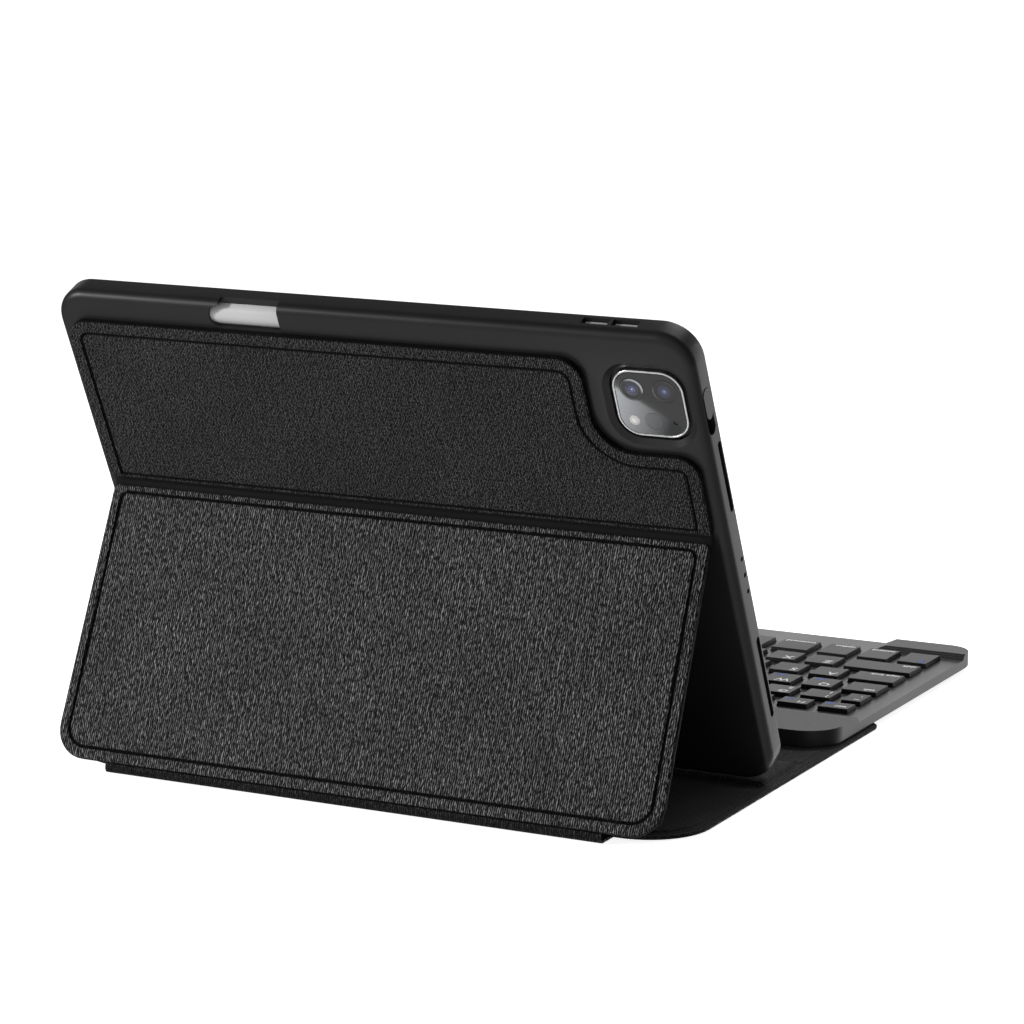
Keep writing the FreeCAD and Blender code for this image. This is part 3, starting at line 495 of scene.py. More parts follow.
FINISH = {
    # The bare fold band between panel and flap: leather painted near black, as the shade in the fold's
    # valley.
    "fold_band_painted_shade": moulded("fold_leather_painted_shade", 6, 0.85, 0.03, 900),
    "panel": leather("panel_leather_grain", (0.7 * MM, 0.85 * MM), (0, 124), 0.28 * MM, 0.42),
    "flap": leather("flap_leather_grain", (0.85 * MM, 1.7 * MM), (0, 172), 0.4 * MM, 0.36),
    "cover": leather("cover_leather_grain", (0.9 * MM, 1.5 * MM), (2, 56), 0.15 * MM, 0.45),
    "lining": microfibre("microfibre_nap", 36),
    "fibre_board": fibre_board("grey_board"),
    "magnet": metal("nickel_plate", 150, 0.3),
    "shell": moulded("shell_tpu", 40, 0.38, 0.02, 1800),
    "button": moulded("button_silver", 238, 0.3, 0.005, 900),
    "tablet": metal("tablet_aluminium", 50, 0.36, (700, 700, 700)),
    "battery": glossy("cell_wrap", 70, 0.4),
    "circuit": printed_board("circuit_green"),
    "display": glossy("display_black", 14, 0.05),
    "ring": metal("polished_ring", 250, 0.3),
    "window": glossy("camera_window_dark", 26, 0.05),
    "lens": coated_lens("lens_coating", (0.015, 0.02, 0.05, 1), (0.04, 0.05, 0.12, 1)),
    "lens_core": coated_lens("lens_core", (0.05, 0.06, 0.17, 1), (0.12, 0.14, 0.34, 1)),
    # A painted glint: a small near-white spot in the middle of each lens stands for a highlight.
    "lens_painted_glint": coated_lens("lens_painted_glint", (0.6, 0.65, 0.8, 1), (0.8, 0.85, 0.95, 1)),
    "lens_rim": glossy("lens_rim_black", 6, 0.12),
    "scanner": glossy("scanner_grey", 60, 0.3),
    "flash": glossy("flash_diffuser", 250, 0.25, 0.03),
    "stylus": moulded("stylus_white", 235, 0.28, 0.008, 900),
    "keyboard": moulded("keyboard_plastic", 46, 0.34, 0.02, 1500),
    "dotted": knurled("keyboard_dotted", 68, 0.4),
    "key": moulded("key_top_satin", 50, 0.46, 0.02, 2200),
    # Painted shade: the keys' walls are near black to stand for the shade on them, while the tops keep
    # the lighter key finish.
    "key_wall_painted_shade": moulded("painted_shade_on_key_walls", 16, 0.5, 0.02, 2200),
    "white_ink": ink("legend_white", rgb(255)),
    "blue_ink": ink("legend_blue", (0.03, 0.13, 0.7, 1)),
    "steel": metal("screw_steel", 120, 0.3),
    "rubber": moulded("foot_rubber", 26, 0.8, 0.05, 900),
    "film": glossy("switch_film_grey", 120, 0.3),
    "light": glossy("light_pipe_milky", 190, 0.3),
}


# ---- CAD nodes that keep their shape -------------------------------------------------------------
KEPT = {
    "fibre_board": ("base_board_rear", "strip_board", "base_board_front", "flap_board", "panel_board"),
    "magnet": ("strip_magnets", "base_magnets", "shell_magnets", "keyboard_magnets"),
    "shell": ("shell", "power_button"),
    "button": ("volume_up_button", "volume_down_button"),
    "tablet": ("tablet_housing",),
    "battery": ("tablet_battery", "battery"),
    "circuit": ("tablet_board", "circuit_board"),
    "display": ("display_glass",),
    "stylus": ("stylus_barrel", "stylus_tip"),
    "keyboard": ("keyboard_top", "keyboard_bottom", "power_switch"),
    "steel": ("housing_screws", "charge_port"),
    "rubber": ("keyboard_feet",),
    "film": ("switch_sheet",),
    "light": ("status_lights",),
}
KEY_NODES = sorted(name for name in frame["nodes"] if name.startswith(("key_", "keys_")))
KEY_RISE = 1.8 * MM
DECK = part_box("key_space")[1].z - KEY_RISE
# Widths of eased edges in mm, edges that count as sharp, and nodes whose edges get other care.
EDGE_WIDTH = 0.2
EDGE = {"keyboard_top": 0.35, "power_button": 0.3, "display_glass": 0.15, "keyboard_feet": 0.4}
CRISP = ("shell",)
FLATTENED = ("keyboard_top",)
EASED_FROM = math.radians(25)
CRISP_FROM = math.radians(24)
FLAT_WITHIN = math.radians(1)


def finish_node(name, *finishes):
    """Give a CAD node its finish, smooth its curves and ease its sharp edges."""
    node = frame["nodes"][name]
    mesh = node.data
    if "custom_normal" in mesh.attributes:
        mesh.attributes.remove(mesh.attributes["custom_normal"])
    mesh.materials.clear()
    for finish in finishes:
        mesh.materials.append(FINISH[finish])
    mesh.polygons.foreach_set("use_smooth", [True] * len(mesh.polygons))
    mesh.polygons.foreach_set("material_index", [0] * len(mesh.polygons))
    weld = node.modifiers.new("weld", "WELD")
    weld.merge_threshold = SAME_POINT
    if name in CRISP:
        split = node.modifiers.new("crisp_edges", "EDGE_SPLIT")
        split.split_angle = CRISP_FROM
        return node
    if name in FLATTENED:
        flat = node.modifiers.new("flat_faces", "DECIMATE")
        flat.decimate_type = "DISSOLVE"
        flat.angle_limit = FLAT_WITHIN
    bevel = node.modifiers.new("eased_edges", "BEVEL")
    bevel.width = EDGE.get(name, EDGE_WIDTH) * MM
    bevel.segments = 2
    bevel.limit_method = "ANGLE"
    bevel.angle_limit = EASED_FROM
    node.modifiers.new("normals", "WEIGHTED_NORMAL").keep_sharp = True
    return node


def paint_tops(node, above, index, least_up=0.9):
    """Use another of the node's finishes on its upward faces above a level."""
    for face in node.data.polygons:
        if face.normal.z > least_up and face.center.z > above:
            face.material_index = index


def finish_nodes():
    for finish, names in KEPT.items():
        for name in names:
            finish_node(name, finish)
    housing = finish_node("keyboard_top", "keyboard", "dotted")
    paint_tops(housing, above=DECK + 0.4 * MM, index=1, least_up=0.3)
    for name in KEY_NODES:
        # Each key's walls keep the near-black painted shade, and its upward tops get the key finish.
        paint_tops(finish_node(name, "key_wall_painted_shade", "key"), above=DECK, index=1)


# ---- Leather on the shell's back -----------------------------------------------------------------
PANEL_SIDE = shell_span("panel_leather", ACROSS)[1]
PANEL_TOP = shell_span("panel_leather", SHELL_UP)[1] - CREASE_HEIGHT
CAMERA_X = (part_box("camera_ring")[0].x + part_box("camera_ring")[1].x) / 2
CAMERA_UP = sum(shell_span("camera_ring", SHELL_UP)) / 2
PANEL_END = -1.3 * MM
PANEL_GROOVE = 5.1 * MM
BAND = (1.6 * MM, 2.3 * MM)
BAND_DEEP = 1.2 * MM
FOLD = 1.5 * MM
# The notch's sides, from the camera's middle.
NOTCH_BESIDE = 22.6 * MM
NOTCH_UNDER = 19.6 * MM
GROOVE_CLEAR = 2.2 * MM
FILL_PITCH = 2.0 * MM
WAVE_DEEP = 0.04 * MM
WAVE_PITCH = 9 * MM
GROOVE_PROFILE = ((-0.8, 0.0), (-0.38, 0.72), (0.0, 1.0), (0.38, 0.72), (0.8, 0.0))


def smooth(value, low, high):
    share = min(max((value - low) / (high - low), 0.0), 1.0)
    return share * share * (3 - 2 * share)


def on_fold(x, s, depth):
    """Unrolled leather across the crease: s up the shell's back, or below 0 down the flap."""
    down = on_flap(x, -s, depth)
    up = on_shell(x, CREASE_HEIGHT + s, PANEL_THICK + depth)
    return down.lerp(up, smooth(s, -FOLD, FOLD))


def soft_waves(x, y):
    """The slow unevenness of leather glued over a board."""
    return WAVE_DEEP * noise.noise(Vector((x / WAVE_PITCH, y / WAVE_PITCH, 0.0)))


def panel_level(x, s):
    """The leather's level over the panel, sunk in the bare band above the crease, the same at any x."""
    return -BAND_DEEP * (1 - smooth(s, *BAND))


def groove_loops(corners, inset, deep, level):
    """Loops that press a groove into a skin."""
    loops = []
    for offset, share in GROOVE_PROFILE:
        points = ring(corners, inset + offset * MM, pitch=3 * MM, steps=8)
        loops.append([(x, y, level(x, y) - deep * share) for x, y in points])
    return loops


def crossing(piece, boundary, y, level, count):
    """A line across a skin, from the boundary's point nearest that level on the left to the right."""
    flat = [vertex[piece.cut] for vertex in boundary]
    sides = [min((p for p in flat if p.x * way > 0), key=lambda p: abs(p.y - y)) for way in (-1, 1)]
    line = []
    for k in range(count + 1):
        spot = sides[0].lerp(sides[1], k / count)
        line.append((spot.x, spot.y, level(spot.x, spot.y)))
    return line


def panel_skin():
    """Grained leather over the panel's board, with its pressed groove and the bare fold below, painted
    near black as shade.
    """
    notch_x = CAMERA_X + NOTCH_BESIDE
    notch_low = CAMERA_UP - NOTCH_UNDER - CREASE_HEIGHT
    corners = [
        (-PANEL_SIDE + 0.8 * MM, PANEL_END, 0),
        (PANEL_SIDE - 0.8 * MM, PANEL_END, 0),
        (PANEL_SIDE, 7 * MM, 0),
        (PANEL_SIDE, PANEL_TOP, 9 * MM),
        (notch_x, PANEL_TOP, 9 * MM),
        (notch_x, notch_low, 15 * MM),
        (-PANEL_SIDE, notch_low, 8 * MM),
        (-PANEL_SIDE, 7 * MM, 0),
    ]
    cuts = ((), (0.0, *BAND))
    piece = Piece("panel_skin", on_fold)
    rim = ((0.0, None), (0.0, 0.65), (0.2, 0.2), (0.65, 0.0))
    rings = []
    for inset, drop in rim:
        points = ring(corners, inset * MM, cuts, 3 * MM, 8)
        if drop is None:
            rings.append(at(points, -PANEL_THICK + 0.05 * MM))
        else:
            rings.append([(x, s, panel_level(x, s) - drop * MM) for x, s in points])
    boundary = piece.rings(rings)[-1]
    inner = ring(corners, PANEL_GROOVE + GROOVE_CLEAR)
    lines = [crossing(piece, boundary, s, panel_level, 60) for s in (0.0, *BAND)]
    piece.top(
        boundary,
        loops=groove_loops(corners, PANEL_GROOVE, 0.75 * MM, panel_level),
        lines=lines,
        height=lambda x, s: panel_level(x, s) + soft_waves(x, s),
        scatter=lattice(inner, FILL_PITCH),
    )
    # The bare fold band gets the near-black finish of painted shade.
    for face in piece.bm.faces:
        if all(vertex[piece.cut].y < BAND[1] + TINY for vertex in face.verts):
            face.material_index = 1
    skin = piece.done(("panel", "fold_band_painted_shade"), "leather", 50, SHELL_OUT)
    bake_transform(skin)
    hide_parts("panel_leather")


# ---- Leather on the stand flap -------------------------------------------------------------------
FLAP_LENGTH = (HEM_HINGE - CREASE).dot(FLAP_DOWN)
FLAP_THICK = -2 * (GROOVE_HINGE - CREASE).dot(FLAP_OUT)
GROOVE_BELOW = (GROOVE_HINGE - CREASE).dot(FLAP_DOWN)
FLAP_START = 1.0 * MM
FLAP_SIDE = -reach("flap_lining", ACROSS)[0] + 0.8 * MM
FLAP_TAPER = 1.6 * MM
HALF_FOLD = 1.2 * MM
# The line pressed round a lining: (inset, depth) in mm.
BEAD = ((1.7, 0.0), (2.0, 0.16), (2.3, 0.0))


def flap_side(below):
    """Half the flap's width: it widens a little towards the floor."""
    return FLAP_SIDE - FLAP_TAPER * (1 - below / FLAP_LENGTH)


def flap_rectangle(top, low, inset, top_corner, low_corner):
    return [
        (-flap_side(top) + inset, top, top_corner),
        (flap_side(top) - inset, top, top_corner),
        (flap_side(low) - inset, low, low_corner),
        (-flap_side(low) + inset, low, low_corner),
    ]


def flap_skin():
    """The flap's grained leather with its groove all round, turned over its edges, and the hem."""
    corners = flap_rectangle(FLAP_START, FLAP_LENGTH, 0, 2 * MM, 12 * MM)
    groove = flap_rectangle(3.7 * MM, GROOVE_BELOW, 4.3 * MM, 3 * MM, 8 * MM)
    folds = (GROOVE_BELOW - HALF_FOLD, GROOVE_BELOW, GROOVE_BELOW + HALF_FOLD)
    piece = Piece("flap_skin", on_flap)
    under = -FLAP_THICK + 0.05 * MM
    rim = ((0.9, under), (0.35, under + 0.15 * MM), (0.0, under + 0.65 * MM), (0.0, -0.8 * MM))
    rim += ((0.22, -0.22 * MM), (0.8, 0.0))
    rows = piece.rings([at(ring(corners, i * MM, ((), folds), 3 * MM, 10), h) for i, h in rim])
    piece.top(
        rows[-1],
        loops=groove_loops(groove, 0.0, 0.9 * MM, lambda x, b: 0.0),
        height=soft_waves,
        scatter=lattice(ring(groove, GROOVE_CLEAR), FILL_PITCH),
    )
    lines = [crossing(piece, rows[0], fold, lambda x, b: under, 4) for fold in folds]
    piece.top(rows[0], lines=lines)
    skin = piece.done(("flap",), "leather", 50)
    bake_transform(skin)
    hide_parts("flap_leather", "flap_hem")


def flap_cloth():
    """The microfibre on the flap's inner face, with rounded edges and a pressed bead at its rim."""
    inner, outer = shell_span("flap_lining", FLAP_OUT, CREASE)
    near, far = shell_span("flap_lining", FLAP_DOWN, CREASE)
    side = reach("flap_lining", ACROSS)[1]
    corners = rectangle(-side, side, near, far, 3 * MM)
    corners[0] = (-side + FLAP_TAPER, near, 3 * MM)
    corners[1] = (side - FLAP_TAPER, near, 3 * MM)
    piece = Piece("flap_cloth", on_flap)
    rim = ((0.0, outer), (0.0, inner + 0.25 * MM), (0.1, inner + 0.08 * MM), (0.35, inner))
    rows = piece.rings([at(ring(corners, i * MM, steps=10), depth) for i, depth in rim])
    loops = []
    for inset, press in BEAD:
        loops.append(at(ring(corners, inset * MM, steps=10), inner + press * MM))
    piece.top(
        rows[-1],
        loops=loops,
        height=lambda x, b: inner + abs(soft_waves(x, b)),
        scatter=lattice(ring(corners, 4 * MM), 4 * MM),
    )
    piece.cap(rows[0], facing_up=False)
    cloth = piece.done(("lining",), "lining", 50)
    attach(cloth, "stand_flap")
    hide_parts("flap_lining")


# ---- Spine and base ------------------------------------------------------------------------------
SPINE_HALF = reach("spine_strip", ACROSS)[1]
SPINE_THICK = 0.8 * MM
BASE_SIDE = reach("base_leather", ACROSS)[1]
BASE_FRONT, BASE_REAR = reach("base_leather", Vector((0, 1, 0)))
COVER_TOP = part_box("base_leather")[1].z
CLOTH_THICK = 0.5 * MM
MARGIN_TOP = COVER_TOP + CLOTH_THICK
# How the lining climbs over a board's edge: (inset in mm, share of the climb).
BOARD_STEP = ((-0.5, 0.0), (-0.2, 0.1), (0.1, 0.55), (0.5, 0.9), (1.0, 1.0))
BASE_CORNERS = [
    (-BASE_SIDE, BASE_FRONT, 7 * MM),
    (BASE_SIDE, BASE_FRONT, 7 * MM),
    (BASE_SIDE, BASE_REAR, 24 * MM),
    (-BASE_SIDE, BASE_REAR, 24 * MM),
]


def spine_line():
    """Points (y, z) of the spine's outer face: along the floor, then round and up to the hem."""
    turn = 2.0 * MM
    rear = HEM_HINGE.y + 0.4 * MM
    points = [(BASE_REAR - 0.3 * MM, 0.0)]
    points += [(BASE_REAR + k * 2.6 * MM, 0.0) for k in range(1, 4)]
    for k in range(9):
        angle = math.radians(-90 + 90 * k / 8)
        points.append((rear - turn + turn * math.cos(angle), turn + turn * math.sin(angle)))
    points.append((rear - 0.15 * MM, turn + 1.0 * MM))
    points.append((rear - 0.55 * MM, HEM_HINGE.z - 0.35 * MM))
    return points


def spine_skin():
    """The leather spine, flat behind the base and curled up to the flap's hem."""
    line = spine_line()
    lengths = [0.0]
    for (y0, z0), (y1, z1) in zip(line, line[1:]):
        lengths.append(lengths[-1] + math.hypot(y1 - y0, z1 - z0))

    def on_spine(x, along, depth):
        index = min(range(len(line)), key=lambda k: abs(lengths[k] - along))
        y0, z0 = line[max(index - 1, 0)]
        y1, z1 = line[min(index + 1, len(line) - 1)]
        length = math.hypot(y1 - y0, z1 - z0)
        across = (-(z1 - z0) / length * depth, (y1 - y0) / length * depth)
        return Vector((x, line[index][0] + across[0], line[index][1] + across[1]))

    piece = Piece("spine_skin", on_spine)
    stations = 70
    rings = []
    for k in range(stations + 1):
        x = -SPINE_HALF + 2 * SPINE_HALF * k / stations
        outer = [(x, along, 0.0) for along in lengths]
        inner = [(x, along, SPINE_THICK) for along in reversed(lengths)]
        rings.append(outer + inner)
    rows = piece.rings(rings)
    piece.cap(rows[0], facing_up=False)
    piece.cap(rows[-1])
    skin = piece.done(("cover",), "leather", 60)
    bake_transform(skin)
    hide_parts("spine_strip")


def base_cover():
    """The grained leather under the whole base, with a rounded cut edge."""
    piece = Piece("base_cover")
    sheet = 0.8
    rim = ((0.3, 0.0), (0.0, 0.25), (0.0, 0.7), (0.25, sheet))
    rings = [at(ring(BASE_CORNERS, i * MM, steps=12), z / sheet * COVER_TOP) for i, z in rim]
    rows = piece.rings(rings)
    piece.top(rows[0], scatter=lattice(ring(BASE_CORNERS, 4 * MM), 8 * MM), height=lambda x, y: 0.0)
    piece.cap(rows[-1])
    cover = piece.done(("cover",), "leather", 60)
    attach(cover, "base")
    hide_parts("base_leather")


def board_outline(node, front, rear):
    """The corners and the level of the cloth over a board, from its front and rear corner radii."""
    low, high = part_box(node)
    x1 = high.x + CLOTH_THICK
    y0, y1 = low.y - CLOTH_THICK, high.y + CLOTH_THICK
    corners = [(-x1, y0, front), (x1, y0, front), (x1, y1, rear), (-x1, y1, rear)]
    return corners, high.z + CLOTH_THICK


def base_cloth():
    """The microfibre lining over the base, raised over each board, with a pressed bead at its rim."""
    piece = Piece("base_cloth")
    rim = ((0.0, 0.0), (0.0, 0.32), (0.12, 0.46), (0.4, 0.52))
    rings = [at(ring(BASE_CORNERS, i * MM, steps=12), COVER_TOP + z * MM) for i, z in rim]
    rows = piece.rings(rings)
    loops = []
    for inset, press in BEAD:
        loops.append(at(ring(BASE_CORNERS, inset * MM, steps=12), MARGIN_TOP - press * MM))
    boards = (
        ("base_board_rear", 2 * MM, 19 * MM),
        ("strip_board", 2 * MM, 2 * MM),
        ("base_board_front", 7 * MM, 2 * MM),
    )
    for node, front, rear in boards:
        corners, top = board_outline(node, front, rear)
        for inset, share in BOARD_STEP:
            level = MARGIN_TOP + (top - MARGIN_TOP) * share
            loops.append(at(ring(corners, inset * MM, steps=8), level))
    piece.top(rows[-1], loops=loops)
    cloth = piece.done(("lining",), "lining", 50, UP)
    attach(cloth, "base")
    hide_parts("base_lining")
    boards = ["base_board_rear", "strip_board", "base_board_front"]


# ---- Camera module -------------------------------------------------------------------------------
CAMERA_HALF = (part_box("camera_ring")[1].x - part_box("camera_ring")[0].x) / 2
CAMERA_CORNER = 8 * MM
RING_FACE = shell_span("camera_ring", SHELL_OUT)[1]
PANE_DEEP = 0.16
# Places on the module, across and up from its middle, in mm.
LENSES = ((5.9, 5.7), (-6.3, 5.7))
FLASH = (7.2, -7.2)
SCANNER = (-0.3, -7.0)
MICROPHONE = (-8.4, -6.8)


def camera_square(inset):
    sides = (CAMERA_X - CAMERA_HALF, CAMERA_X + CAMERA_HALF)
    ends = (CAMERA_UP - CAMERA_HALF, CAMERA_UP + CAMERA_HALF)
    return ring(rectangle(*sides, *ends, CAMERA_CORNER), inset, pitch=3 * MM, steps=12)


def module_spot(spot):
    return CAMERA_X + spot[0] * MM, CAMERA_UP + spot[1] * MM


def on_tablet(piece, *nodes):
    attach(piece, "tablet")
    if nodes:
        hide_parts(*nodes)


def turned(piece, spot, profile):
    """A round body from (radius, depth below the ring's face, finish) rings, closed in its middle."""
    x, height = module_spot(spot)
    rows = [at(circle(x, height, r * MM), RING_FACE - d * MM) for r, d, _ in profile]
    for (low, high), (_, _, material) in zip(zip(rows, rows[1:]), profile):
        piece.rings([low, high], material)
    middle = at(circle(x, height, 0.05 * MM), RING_FACE - profile[-1][1] * MM)
    last = piece.rings([rows[-1], middle], profile[-1][2])
    piece.cap(last[-1], profile[-1][2])


def camera_rim():
    """The polished metal ring."""
    piece = Piece("camera_rim", on_shell)
    profile = ((0.0, 1.8), (0.0, 0.35), (0.1, 0.1), (0.3, 0.0), (0.6, 0.0), (0.82, 0.12), (0.9, 0.4))
    profile += ((0.9, 1.3), (0.0, 1.8))
    rings = [at(camera_square(i * MM), RING_FACE - d * MM) for i, d in profile]
    piece.rings(rings)
    on_tablet(piece.done(("ring",), "ring_metal", 60), "camera_ring")


def camera_pane():
    """The dark glass that fills the ring, with its microphone dimple."""
    piece = Piece("camera_pane", on_shell)
    profile = ((0.95, 0.7), (0.95, 0.25), (1.1, PANE_DEEP))
    rows = piece.rings([at(camera_square(i * MM), RING_FACE - d * MM) for i, d in profile])
    dimple = at(circle(*module_spot(MICROPHONE), 0.9 * MM, 24), RING_FACE - PANE_DEEP * MM)
    floor = at(circle(*module_spot(MICROPHONE), 0.75 * MM, 24), RING_FACE - 0.5 * MM)
    piece.top(rows[-1], loops=[dimple, floor])
    piece.cap(rows[0], facing_up=False)
    on_tablet(piece.done(("window",), "camera_window", 30), "camera_glass")


def camera_eyes():
    """The two lenses: a black rim round flush rings of glass, tinted towards a painted glint in the
    middle.
    """
    piece = Piece("camera_eyes", on_shell)
    profile = (
        (4.6, 0.6, 0),
        (4.6, 0.12, 0),
        (4.45, 0.06, 0),
        (4.1, 0.08, 2),
        (2.5, 0.08, 1),
        (1.25, 0.08, 3),
        (0.3, 0.08, 4),
    )
    for spot in LENSES:
        turned(piece, spot, profile)
    finishes = ("lens_rim", "lens", "window", "lens_core", "lens_painted_glint")
    on_tablet(piece.done(finishes, "lens", 40), "camera_lenses")


def camera_spots():
    """The flash diffuser and the grey scanner window beside it."""
    flash = Piece("camera_flash", on_shell)
    turned(flash, FLASH, ((2.0, 0.6, 0), (2.0, 0.14, 0), (1.85, 0.06, 0), (0.9, 0.02, 0)))
    on_tablet(flash.done(("flash",), "flash", 50), "flash_lens")
    scanner = Piece("camera_scanner", on_shell)
    turned(scanner, SCANNER, ((3.5, 0.5, 0), (3.5, 0.15, 0), (3.4, 0.13, 0), (3.3, 0.13, 0)))
    on_tablet(scanner.done(("scanner",), "camera_window", 50))


# ---- Legends on the keys -------------------------------------------------------------------------
LEGENDS = {
    "key_escape": ["esc"],
    "key_f1": ["F1"],
    "keys_function_row": ["F%d" % k for k in range(2, 14)],
    "key_backquote": ["` ~"],
    "key_1": ["1 !"],
    "keys_number_row": ["2 @", "3 #", "4 $", "5 %", "6 ^", "7 &", "8 *", "9 (", "0 )", "- _", "= +"],
    "key_backspace": ["delete"],
    "key_tab": ["tab"],
    "key_q": ["Q"],
    "keys_upper_row": [*"WERTYUIOP", "[ {", "] }", "\\ |"],
    "key_caps": ["caps lock"],
    "key_a": ["A"],
    "keys_home_row": [*"SDFGHJKL", "; :", "' \""],
    "key_enter": ["return"],
    "key_shift_left": ["shift"],
    "key_z": ["Z"],
    "keys_lower_row": [*"XCVBNM", ", <", ". >", "/ ?", "shift"],
    "key_fn": ["fn"],
    "key_space": [""],
    "keys_space_row": ["control", "option", "command", "command", "option", "<", "^ v", ">"],
}
BLUE = ("fn",)
SECOND = {"Q": "one", "W": "two", "E": "three", "esc": "off", "F1": "<<", "F2": ">>", "F3": "||"}
INK_UP = 0.02 * MM
INK_BOLD = 0.13 * MM
LETTER_SIZE = 5.8 * MM
PAIR_SIZE = 4.0 * MM
SHORT_SIZE = 3.8 * MM
WORD_SIZE = 3.3 * MM
SECOND_SIZE = 3.2 * MM
RIGHT_KEYS = 60 * MM


def key_spans(name):
    """(x0, x1) of each key in a CAD node, from its top faces."""
    mesh = frame["nodes"][name].data
    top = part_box(name)[1].z
    found = []
    for face in mesh.polygons:
        corners = [mesh.vertices[i].co for i in face.vertices]
        if min(c.z for c in corners) > top - 0.05 * MM:
            found.append((min(c.x for c in corners), max(c.x for c in corners)))
    spans = []
    for x0, x1 in sorted(found):
        if spans and x0 < spans[-1][1] - TINY:
            spans[-1][1] = max(x1, spans[-1][1])
        else:
            spans.append([x0, x1])
    return spans


def write(bm, text, size, x, y, z, align, material=0):
    """Add a line of printed text to a mesh, reading along +X."""
    curve = bpy.data.curves.new("legend", "FONT")
    curve.body = text
    curve.size = size
    curve.align_x = align
    curve.resolution_u = 3
    curve.offset = INK_BOLD
    holder = bpy.data.objects.new("legend", curve)
    mesh = bpy.data.meshes.new_from_object(holder)
    first = len(bm.verts)
    first_face = len(bm.faces)
    bm.from_mesh(mesh)
    bm.verts.ensure_lookup_table()
    bm.faces.ensure_lookup_table()
    for vertex in bm.verts[first:]:
        vertex.co += Vector((x, y, z))
    for face in bm.faces[first_face:]:
        face.material_index = material
    bpy.data.objects.remove(holder)


def write_key(bm, text, x0, x1, y0, y1, top):
    """One key's legend: letters and digits at its upper left, words along its lower edge."""
    level = top + INK_UP
    if len(text) > 3:
        right = x0 > RIGHT_KEYS
        x = x1 - 1.3 * MM if right else x0 + 1.3 * MM
        write(bm, text, WORD_SIZE, x, y0 + 1.7 * MM, level, "RIGHT" if right else "LEFT")
    elif len(text) == 3 and " " in text:
        low, high = text.split(" ")
        write(bm, high, PAIR_SIZE, x0 + 1.6 * MM, y1 - 4.2 * MM, level, "LEFT")
        write(bm, low, PAIR_SIZE, x0 + 1.6 * MM, y0 + 1.8 * MM, level, "LEFT")
    elif text in BLUE:
        write(bm, text, 3.6 * MM, x0 + 1.5 * MM, y1 - 4.2 * MM, level, "LEFT", 1)
    elif text:
        size = LETTER_SIZE if len(text) == 1 else SHORT_SIZE
        write(bm, text, size, x0 + 1.6 * MM, y1 - 1.4 * MM - 0.75 * size, level, "LEFT")
        if text in SECOND:
            write(bm, SECOND[text], SECOND_SIZE, x1 - 1.4 * MM, y0 + 1.6 * MM, level, "RIGHT", 1)


def legend(name):
    """All the printing on one CAD node's keys."""
    low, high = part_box(name)
    bm = bmesh.new()
    for text, (x0, x1) in zip(LEGENDS[name], key_spans(name)):
        write_key(bm, text, x0, x1, low.y, high.y, high.z)
    if not bm.verts:
        bm.free()
        return
    mesh = bpy.data.meshes.new("legend_" + name)
    bm.to_mesh(mesh)
    bm.free()
    mesh.materials.append(FINISH["white_ink"])
    mesh.materials.append(FINISH["blue_ink"])
    printed = bpy.data.objects.new("legend_" + name, mesh)
    bpy.context.scene.collection.objects.link(printed)
    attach(printed, name)


# ---- Studio --------------------------------------------------------------------------------------
# The camera, fitted to the photograph's outline: its place, its turn from -Y and its dip.
FOCAL_LENGTH_MM = 129.08
CAMERA_PLACE = (-0.63333, 1.24563, 0.35862)
CAMERA_TURN = math.radians(27.35)
CAMERA_DIP = math.radians(11.25)
# Brightness of the studio by direction: (where along Y, where in height, strength). Each pair is
# (nothing yet, full), on the unit sphere.
GLOWS = (
    ((-0.45, -0.85), (0.62, 0.3), 1.25),
    ((0.25, 0.8), (0.85, 0.45), 0.3),
    ((-2.0, -1.5), (-0.3, -0.8), 0.42),
)
AMBIENT = 0.07
FLOOR_GLOW = 0.86
FLOOR_LEVEL = -0.2 * MM
# The glare card: its middle, its corners round that, and its strength from one side to the other.
GLARE_MIDDLE = Vector((-18.5, 217.5, 0.4)) * MM
GLARE_CORNERS = ((19.5, 9.0), (9.0, -26.0), (-34.0, -26.0), (-26.0, -12.0))
GLARE_ACROSS = (-22 * MM, 20 * MM)
GLARE_STRENGTH = (0.4, 7.0)


def make_camera():
    lens = bpy.data.cameras.new("camera")
    lens.lens = FOCAL_LENGTH_MM
    lens.sensor_width = 36
    lens.clip_start = 0.05
    lens.clip_end = 60
    camera = bpy.data.objects.new("camera", lens)
    camera.location = CAMERA_PLACE
    level = math.cos(CAMERA_DIP)
    way = Vector((math.sin(CAMERA_TURN) * level, -math.cos(CAMERA_TURN) * level, -math.sin(CAMERA_DIP)))
    camera.rotation_euler = way.to_track_quat("-Z", "Y").to_euler()
    bpy.context.scene.collection.objects.link(camera)
    bpy.context.scene.camera = camera


def make_floor():
    """Flat white paper with a glow of its own, so that hardly a shadow shows."""
    mesh = bpy.data.meshes.new("floor")
    outline = ((-8, -14), (8, -14), (8, 4), (-8, 4))
    mesh.from_pydata(at(outline, FLOOR_LEVEL), [], [(0, 1, 2, 3)])
    paper = Finish("paper", Roughness=0.95, Emission_Color=rgb(255), Emission_Strength=FLOOR_GLOW)
    grain = paper.noise(paper.place((1, 1, 1), own=False), 40, 2.0)
    mesh.materials.append(paper.done(paper.mix(grain, rgb(247), rgb(252))))
    floor = bpy.data.objects.new("floor", mesh)
    bpy.context.scene.collection.objects.link(floor)
    floor.visible_diffuse = False
    floor.visible_glossy = False


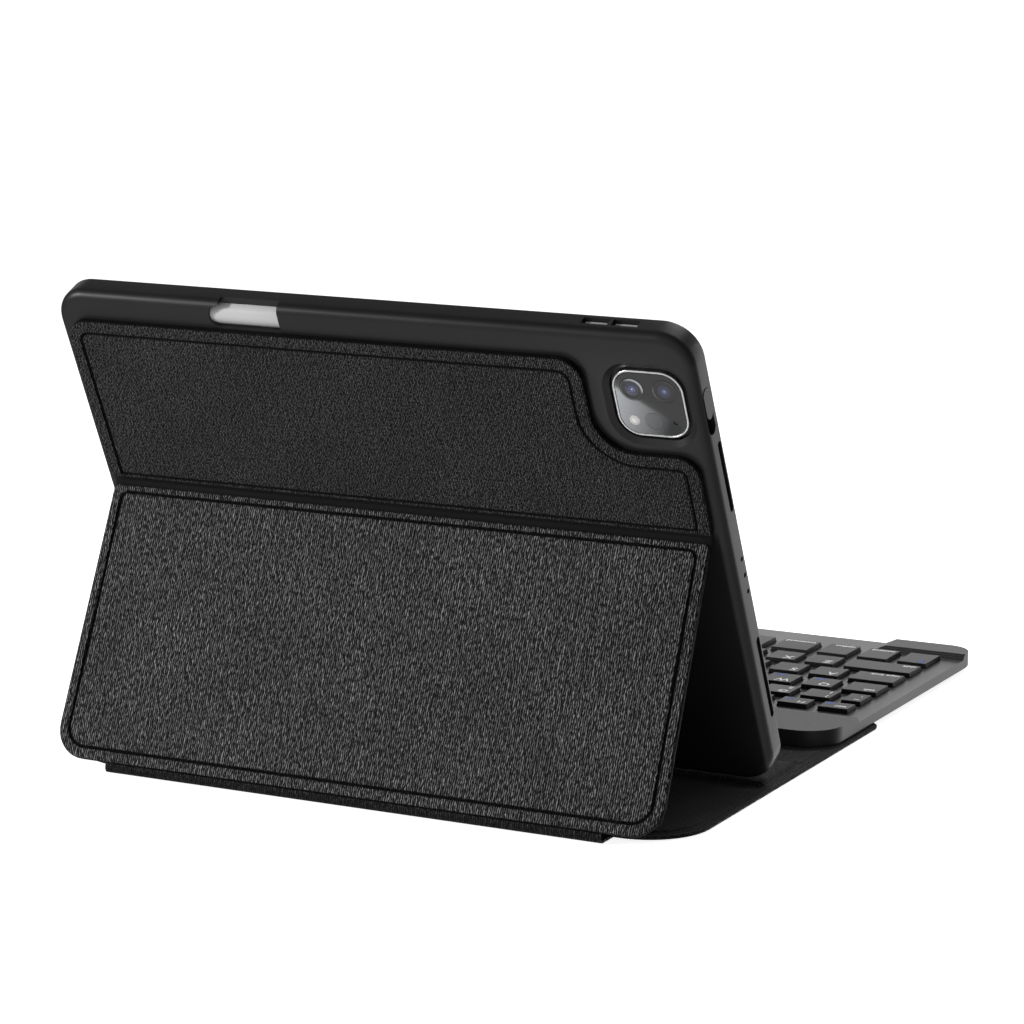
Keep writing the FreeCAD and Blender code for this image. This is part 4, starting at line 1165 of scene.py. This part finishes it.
def make_world():
    """Soft studio surroundings: bright beyond the keyboard and behind the camera, dark at the sides."""
    world = bpy.data.worlds.new("studio")
    world.use_nodes = True
    tree = world.node_tree

    def join(kind, *sources, **settings):
        made = tree.nodes.new("ShaderNode" + kind)
        for name, value in settings.items():
            setattr(made, name, value)
        for socket, source in zip(made.inputs, sources):
            if isinstance(source, bpy.types.NodeSocket):
                tree.links.new(source, socket)
            else:
                socket.default_value = source
        return made.outputs[0]

    way = tree.nodes.new("ShaderNodeTexCoord").outputs["Generated"]
    split = tree.nodes.new("ShaderNodeSeparateXYZ")
    tree.links.new(way, split.inputs[0])
    total = None
    for along, height, strength in GLOWS:
        shares = []
        for axis, (start, full) in (("Y", along), ("Z", height)):
            shares.append(join("MapRange", split.outputs[axis], start, full, 0.0, 1.0))
        glow = join("Math", join("Math", *shares, operation="MULTIPLY"), strength, operation="MULTIPLY")
        total = join("Math", glow, AMBIENT if total is None else total, operation="ADD")
    background = tree.nodes["Background"]
    background.inputs["Color"].default_value = (1, 1, 1, 1)
    tree.links.new(total, background.inputs["Strength"])
    bpy.context.scene.world = world


def make_glare_card():
    """A small bright card low behind the stand, seen only in reflections such as the camera glass's."""
    mesh = bpy.data.meshes.new("glare_card")
    corners = [GLARE_MIDDLE + Vector((x, y, 0)) * MM for x, y in GLARE_CORNERS]
    mesh.from_pydata([tuple(c) for c in corners], [], [(0, 3, 2, 1)])
    glow = Finish("glare", Base_Color=(0, 0, 0, 1), Emission_Color=(0.93, 0.96, 1, 1))
    across = glow.node("SeparateXYZ", Vector=glow.place(own=False)).outputs["X"]
    left, right = (GLARE_MIDDLE.x + side for side in GLARE_ACROSS)
    strength = glow.range(across, left, right, *GLARE_STRENGTH)
    glow.feed(glow.shader.inputs["Emission Strength"], strength)
    mesh.materials.append(glow.done())
    card = bpy.data.objects.new("glare_card", mesh)
    bpy.context.scene.collection.objects.link(card)
    card.visible_camera = False
    card.visible_diffuse = False
    card.visible_shadow = False


def area_light(name, place, target, size, power):
    lamp = bpy.data.lights.new(name, "AREA")
    lamp.shape = "RECTANGLE"
    lamp.size, lamp.size_y = size
    lamp.energy = power
    light = bpy.data.objects.new(name, lamp)
    light.location = place
    light.rotation_euler = (Vector(target) - Vector(place)).to_track_quat("-Z", "Y").to_euler()
    bpy.context.scene.collection.objects.link(light)


# ---- Making it all -------------------------------------------------------------------------------
make_camera()
make_floor()
make_world()
make_glare_card()
area_light("key", (1.25, 1.15, 0.6), target=(0, 0.1, 0.08), size=(0.3, 0.3), power=13)
area_light("over_keyboard", (-0.1, -0.6, 0.9), target=(-0.05, -0.1, 0.01), size=(0.5, 0.15), power=5.5)
finish_nodes()
base_cover()
base_cloth()
panel_skin()
flap_skin()
flap_cloth()
spine_skin()
camera_rim()
camera_pane()
camera_eyes()
camera_spots()
for key_node in KEY_NODES:
    legend(key_node)
bpy.context.scene.view_settings.view_transform = "Standard"
